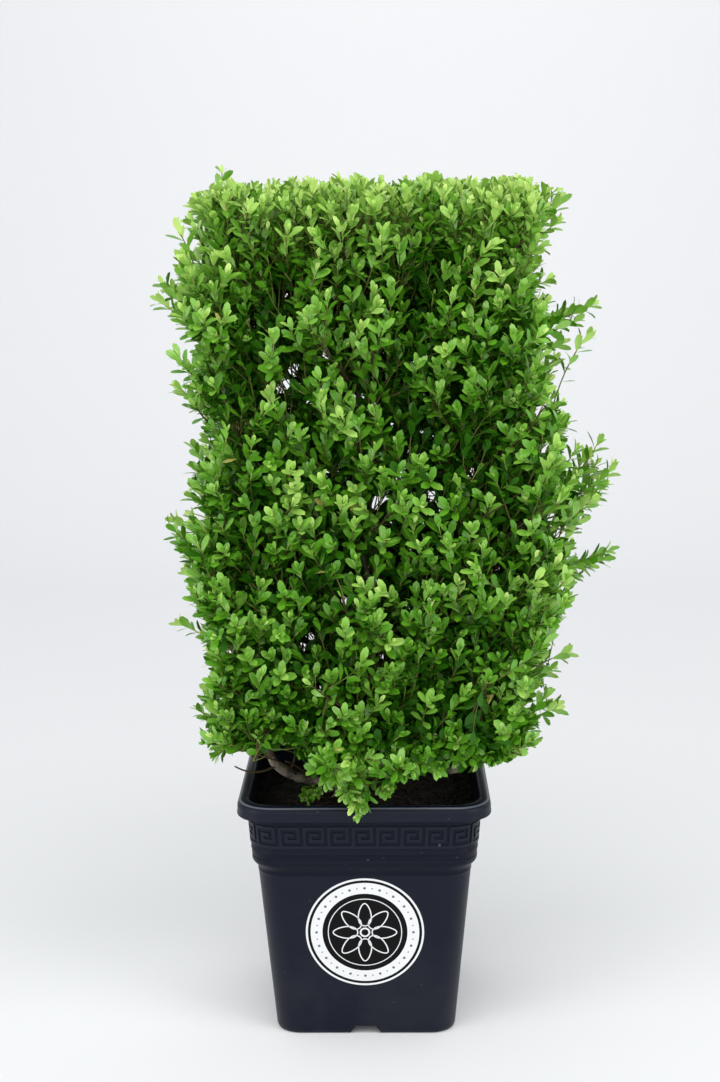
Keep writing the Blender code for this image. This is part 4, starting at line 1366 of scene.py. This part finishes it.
def leafTemplate(kind):
    stations = leafShape[kind]
    points, triangles = [(0.0, 0.0, 0.0, 0.0)], []
    for along, half, lift in stations[1:-1]:
        for side in (-1, 0, 1):
            points.append((along, side * half / 2, lift, abs(side) * half / 2))
    last = stations[-1]
    points.append((last[0], 0.0, last[2], 0.0))
    triangles += [(0, 2, 1), (0, 3, 2)]
    for i in range(len(stations) - 3):
        a, b = 1 + 3 * i, 4 + 3 * i
        triangles += [(a, a + 1, b + 1), (a, b + 1, b), (a + 1, a + 2, b + 2), (a + 1, b + 2, b + 1)]
    a, end = 1 + 3 * (len(stations) - 3), len(points) - 1
    triangles += [(a, a + 1, end), (a + 1, a + 2, end)]
    return np.array(points), np.array(triangles)


def tintIndex(leaves, rng):
    tint = np.clip(np.round(leaves["tone"]), 1, 5).astype(int)
    young = leaves["bud"] & (leaves["tone"] < 2.4) & (rng.random(len(tint)) < leaf["young"])
    tint[young] = 0
    tint[rng.random(len(tint)) < leaf["yellow"]] = tintNames.index("old")
    return tint


def leafMaterial(name, colour, roughness, gloss):
    # the midrib is a height only
    material, tree, shader = startMaterial("leaf_" + name, roughness, gloss, colour)
    place = addNode(tree, "UVMap", uv_map="leaf").outputs[0]
    aside = addNode(tree, "SeparateXYZ", place).outputs[1]
    rib = doMath(tree, "ABSOLUTE", doMath(tree, "SUBTRACT", aside, 0.5))
    bumpUp(tree, shader, remap(tree, rib, 0.0, 0.1), 0.35, 0.0004)
    return material


def buildLeaves(leaves, rng):
    materials = [leafMaterial(name, *values) for name, values in leaf["tints"].items()]
    tint = tintIndex(leaves, rng)
    total = 0
    for c, name in enumerate(columnNames):
        parts = []
        for kind in leafShape:
            own = np.flatnonzero((leaves["column"] == c) & (leaves["fine"] == (kind == "fine")))
            shape, faces = leafTemplate(kind)
            way, top = leaves["way"][own], leaves["top"][own]
            length, width, fold = (leaves[key][own, None, None] for key in ("length", "width", "fold"))
            along, aside, lift, edge = shape.T[:, None, :, None]
            verts = leaves["root"][own, None] + along * length * way[:, None]
            verts = verts + aside * width * np.cross(top, way)[:, None]
            verts = verts + (lift * length + edge * width * fold) * top[:, None]
            starts = np.arange(len(own))[:, None, None] * len(shape)
            places = np.tile(np.stack([shape[:, 0], shape[:, 1] + 0.5], 1), (len(own), 1))
            tints = np.repeat(tint[own], len(faces))
            parts.append((verts.reshape(-1, 3), (faces + starts).reshape(-1, 3), tints, places))
        piece = meshFromParts("leaves_" + name, parts, materials)
        give(piece, "leaf_" + name, "foliage_" + name)
        total += len(piece.data.polygons)
        print("  leaves", name, len(piece.data.polygons))
    return total


twigTints = {  # colour and roughness, by level
    "stem": ((0.11, 0.085, 0.06), 0.8),
    "main": ((0.07, 0.052, 0.024), 0.8),
    "branchlet": ((0.11, 0.092, 0.034), 0.76),
    "shoot": ((0.135, 0.15, 0.038), 0.7),
    "youngShoot": ((0.33, 0.38, 0.09), 0.6),
}
twigSides = (8, 5, 4, 3)


def twigMaterial(name, colour, roughness):
    material, tree, shader = startMaterial("twig_" + name, roughness, 0.15, colour)
    place = addNode(tree, "TexCoord").outputs["Object"]
    grain = useGroup(tree, grainGroup, Vector=place, Blotch_Scale=300.0, Grain_Scale=1400.0)
    bumpUp(tree, shader, grain["Grain"], 0.5, 0.0004)
    return material


def buildTwigs(growth):
    materials = [twigMaterial(name, *values) for name, values in twigTints.items()]
    for c, name in enumerate(columnNames):
        parts = []
        for paths, sizes, column, level in growth.tubes:
            own = np.flatnonzero(column == c)
            if not len(own):
                continue
            points, faces, each = tubes(paths[own], sizes[own], twigSides[level])
            tints = np.full((len(own), each), level)
            if level == 3:  # green towards the tip
                tints[:, each * 13 // 20:each - 3] = 4
            parts.append((points, faces, tints.ravel()))
        piece = meshFromParts("twigs_" + name, parts, materials)
        give(piece, "bark_" + name, "foliage_" + name)
        print("  twigs", name, len(piece.data.polygons))


growth, leaves = growCrown()
leaves = pruneTwigs(growth, leaves, thinLeaves(leaves))
buildTwigs(growth)
leafFaces = buildLeaves(leaves, np.random.default_rng(6))
print("stage: crown,", len(leaves["root"]), "leaves,", leafFaces, "faces")


# Bark
bark = {
    "tones": [(0.07, 0.054, 0.04), (0.34, 0.295, 0.22), (0.045, 0.032, 0.022), (0.36, 0.34, 0.27)],
    "guide": (0.3, 0.2, 0.9),
    "around": 2.2,  # turns of noise round a limb
    "along": 90,  # ridges along it, for each metre
    "ridge": 0.2,
    "crack": 0.13,
    "knot": 0.8,
    "knotsAlong": 55,
    "knotsFrom": 0.25,
    "trunkSteps": 44,
    "trunkSides": 52,
    "sunk": 0.002,
    "dome": 0.006,
    "boughSteps": 64,
    "boughSides": 20,
    "boughIn": 0.004,
    "boughSizes": ([0, 0.04, 0.12, 1], [0.0068, 0.0056, 0.0047, limbs["boughTip"]]),
}


def barkMaterial():
    material, tree, shader = startMaterial("hollyBark", 0.85)
    place = addNode(tree, "TexCoord").outputs["Object"]
    stretched = addNode(tree, "Mapping", place, Scale=(1.0, 1.0, 0.45)).outputs[0]
    grain = useGroup(tree, grainGroup, Vector=stretched, Blotch_Scale=120.0, Grain_Scale=700.0)
    fine = useGroup(tree, grainGroup, Vector=place, Blotch_Scale=420.0, Grain_Scale=1900.0)
    dark, light, crack, lichen = bark["tones"]
    fill(tree, shader["Base Color"], layColours(
        tree, dark, (grain["Blotch"], 0.4, 0.6, 1.0, light), (fine["Blotch"], 0.52, 0.62, 0.5, crack),
        (grain["Grain"], 0.55, 0.75, 0.4, lichen),
    ))
    bumpUp(tree, shader, fine["Blotch"], 0.8, 0.0008)
    return material


def barkTube(name, path, tipSize, sides, seed, material, sizeAt):
    # a limb with long ridges, cracks and small knots in its own mesh
    way = unit(np.gradient(path, axis=0))
    first, second = framesAlong(way[None], unit(np.cross(way[:1], bark["guide"])))
    run = np.append(0, np.cumsum(np.linalg.norm(np.diff(path, axis=0), axis=1)))
    points = []
    for i, point in enumerate(path):
        for s in range(sides):
            c, d = math.cos(2 * math.pi * s / sides), math.sin(2 * math.pi * s / sides)
            out = c * first[0, i] + d * second[0, i]
            where = Vector((c * bark["around"] + seed, d * bark["around"], run[i] * bark["along"]))
            ridge = noise.noise(where) * bark["ridge"] + noise.noise(where * 2.6) * bark["crack"]
            knot = noise.noise(Vector((c + seed, d, run[i] * bark["knotsAlong"]))) - bark["knotsFrom"]
            points.append(point + out * sizeAt(i, out) * (1 + ridge + max(0.0, knot) * bark["knot"]))
    points += [path[-1] + way[-1] * tipSize * 0.5, path[0]]
    return meshFromParts(name, [(np.array(points), tubeFaces(len(path), sides), 0)], [material])


def buildLimbs():
    material = barkMaterial()
    low, high = limbs["soilTop"] - bark["sunk"], limbs["soilTop"] + limbs["trunkHigh"]
    heights = np.linspace(low, high, bark["trunkSteps"])
    path = np.array([trunkCentre(height) for height in heights])
    dome = np.clip((heights[-1] - heights) / bark["dome"], 0, 1) ** 0.5

    def trunkSize(i, out):
        return trunkRadius(path[i][2], math.atan2(out[1], out[0])) * max(0.25, dome[i])

    trunk = barkTube("trunk_bark", path, limbs["trunkRadius"] * 0.25, bark["trunkSides"], 3.0, material, trunkSize)
    give(trunk, "bark_trunk", "trunk")
    for k, name in enumerate(columnNames):
        foot, start, end, tip, out = planBough(name)
        t = np.linspace(0, 1, bark["boughSteps"])
        path = onLimb(t[:, None], foot - out * bark["boughIn"], start, end, tip)
        sizes = np.interp(t, *bark["boughSizes"])
        bough = barkTube("bough_bark_" + name, path, sizes[-1], bark["boughSides"], 11.0 + 5 * k, material,
                         lambda i, out: sizes[i])
        give(bough, "bark_" + name, "bough_" + name)


buildLimbs()
print("stage: trunk and boughs")


# Soil with crumbs, chips and fine roots
soil = {
    "half": 0.1024,
    "height": 0.203,
    "rise": 0.0018,
    "rough": 0.0016,
    "cuts": 84,
    "sink": 0.008,
    "crumbs": 900,
    "chips": 260,
    "margin": 0.004,
    "roots": 46,
    "trunkRoots": 18,
    "rootSteps": 12,
    "rootStep": 0.0042,
    "rootsWithin": (0.085, 0.094),  # where they start, where they end
    "tones": [(0.005, 0.0034, 0.0026), (0.0185, 0.0125, 0.0085), (0.03, 0.0195, 0.0125), (0.085, 0.06, 0.04)],
    "rootTone": (0.06, 0.036, 0.02),
}


def soilMaterial():
    material, tree, shader = startMaterial("moistPeat", 0.95)
    place = addNode(tree, "TexCoord").outputs["Object"]
    grain = useGroup(tree, grainGroup, Vector=place, Blotch_Scale=60.0, Grain_Scale=420.0)
    specks = useGroup(tree, speckGroup, Vector=place, Scale=210.0, Size=0.22, Share=0.1)
    dark, light, fibre, speck = soil["tones"]
    fill(tree, shader["Base Color"], layColours(
        tree, dark, (grain["Blotch"], 0.35, 0.65, 1.0, light), (grain["Grain"], 0.5, 0.7, 0.5, fibre),
        (specks["Mask"], 0, 1, 1.0, speck),
    ))
    bumpUp(tree, shader, grain["Grain"], 0.9, 0.0012)
    return material


def soilHeight(x, y):
    middle = math.exp(-((x - limbs["trunkPlace"][0]) ** 2 + y * y) / 0.0016)
    rough = noise.noise(Vector((x, y, 0)) * 60) + 0.6 * noise.noise(Vector((x, y, 4)) * 160)
    return soil["height"] + soil["rise"] * middle + soil["rough"] * rough


def buildBed(peat):
    half = soil["half"]
    inner = half - cornerAt(half)
    bpy.ops.mesh.primitive_grid_add(
        x_subdivisions=soil["cuts"], y_subdivisions=soil["cuts"], size=2 * half, location=(0, 0, 0)
    )
    bed = named("soil_bed")
    editAll(bed)
    extrudeUp(0.01)
    faceOutwards()
    for vert in bed.data.vertices:
        x, y, z = vert.co
        # the square grid is drawn in to the pot's rounded corners
        dx, dy = max(abs(x) - inner, 0), max(abs(y) - inner, 0)
        if dx > 0 and dy > 0:
            pull = max(dx, dy) / math.hypot(dx, dy)
            x = math.copysign(inner + dx * pull, x)
            y = math.copysign(inner + dy * pull, y)
        height = soilHeight(x, y)
        vert.co = (x, y, height if z > 0.005 else height - soil["sink"])
    bpy.ops.object.shade_smooth()
    bed.data.materials.append(peat)
    give(bed, "potting_soil", "soil")


def buildCrumbs(peat, rng):
    bpy.ops.mesh.primitive_ico_sphere_add(subdivisions=1, radius=1, location=(0, 0, 0))
    lump = named("lump")
    shape = np.array([vert.co for vert in lump.data.vertices])
    faces = np.array([face.vertices for face in lump.data.polygons])
    bpy.data.objects.remove(lump, do_unlink=True)
    parts = []
    reach = soil["half"] - soil["margin"]
    for i in range(soil["crumbs"] + soil["chips"]):
        x, y = rng.uniform(-reach, reach, 2)
        if max(abs(x), abs(y)) > 0.09 and min(abs(x), abs(y)) > 0.08:
            continue  # in a rounded corner
        size = rng.gamma(2.2, 0.00075) + 0.0006
        scale = np.array([1.0, rng.uniform(0.6, 1.0), rng.uniform(0.5, 0.9)]) * min(size, 0.0042)
        if i >= soil["crumbs"]:
            long = rng.uniform(0.0035, 0.0085)
            scale = np.array([long, long * rng.uniform(0.12, 0.3), rng.uniform(0.0004, 0.0009)])
        body = shape * scale * (1 + rng.uniform(-0.22, 0.22, (len(shape), 1)))
        turn = np.array(Euler((rng.normal(0, 0.3), rng.normal(0, 0.3), rng.uniform(0, 6.28))).to_matrix())
        parts.append((body @ turn.T + [x, y, soilHeight(x, y) + scale[2] * 0.35], faces, 0))
    give(meshFromParts("soil_crumbs", parts, [peat]), "potting_soil", "soil")


def buildRoots(rng):
    paths, sizes = [], []
    start, end = soil["rootsWithin"]
    last = soil["rootSteps"] - 1
    for i in range(soil["roots"]):
        near = i < soil["trunkRoots"]
        angle = rng.uniform(0, 2 * math.pi)
        x, y = (np.array(limbs["trunkPlace"]) + 0.012 * np.array([math.cos(angle), math.sin(angle)])
                if near else rng.uniform(-start, start, 2))
        heading = angle if near else rng.uniform(0, 2 * math.pi)
        path, curl = [], rng.normal(0, 0.25)
        for k in range(last + 1):
            curl += rng.normal(0, 0.14)
            heading += curl * 0.35
            x = float(np.clip(x + soil["rootStep"] * math.cos(heading), -end, end))
            y = float(np.clip(y + soil["rootStep"] * math.sin(heading), -end, end))
            lift = 0.0012 * math.sin(k / last * math.pi) * rng.uniform(0.4, 1.6)
            path.append((x, y, soilHeight(x, y) + lift + (0.001 if k < last else -0.0004)))
        paths.append(path)
        sizes.append(np.linspace(0.0013 if near else 0.0007, 0.0004, last + 1))
    points, faces, _ = tubes(np.array(paths), np.array(sizes), 6)
    skin = twigMaterial("root", soil["rootTone"], 0.85)
    give(meshFromParts("soil_roots", [(points, faces, 0)], [skin]), "potting_soil", "soil")


peat = soilMaterial()
buildBed(peat)
soilRng = np.random.default_rng(12)
buildCrumbs(peat, soilRng)
buildRoots(soilRng)
print("stage: soil")
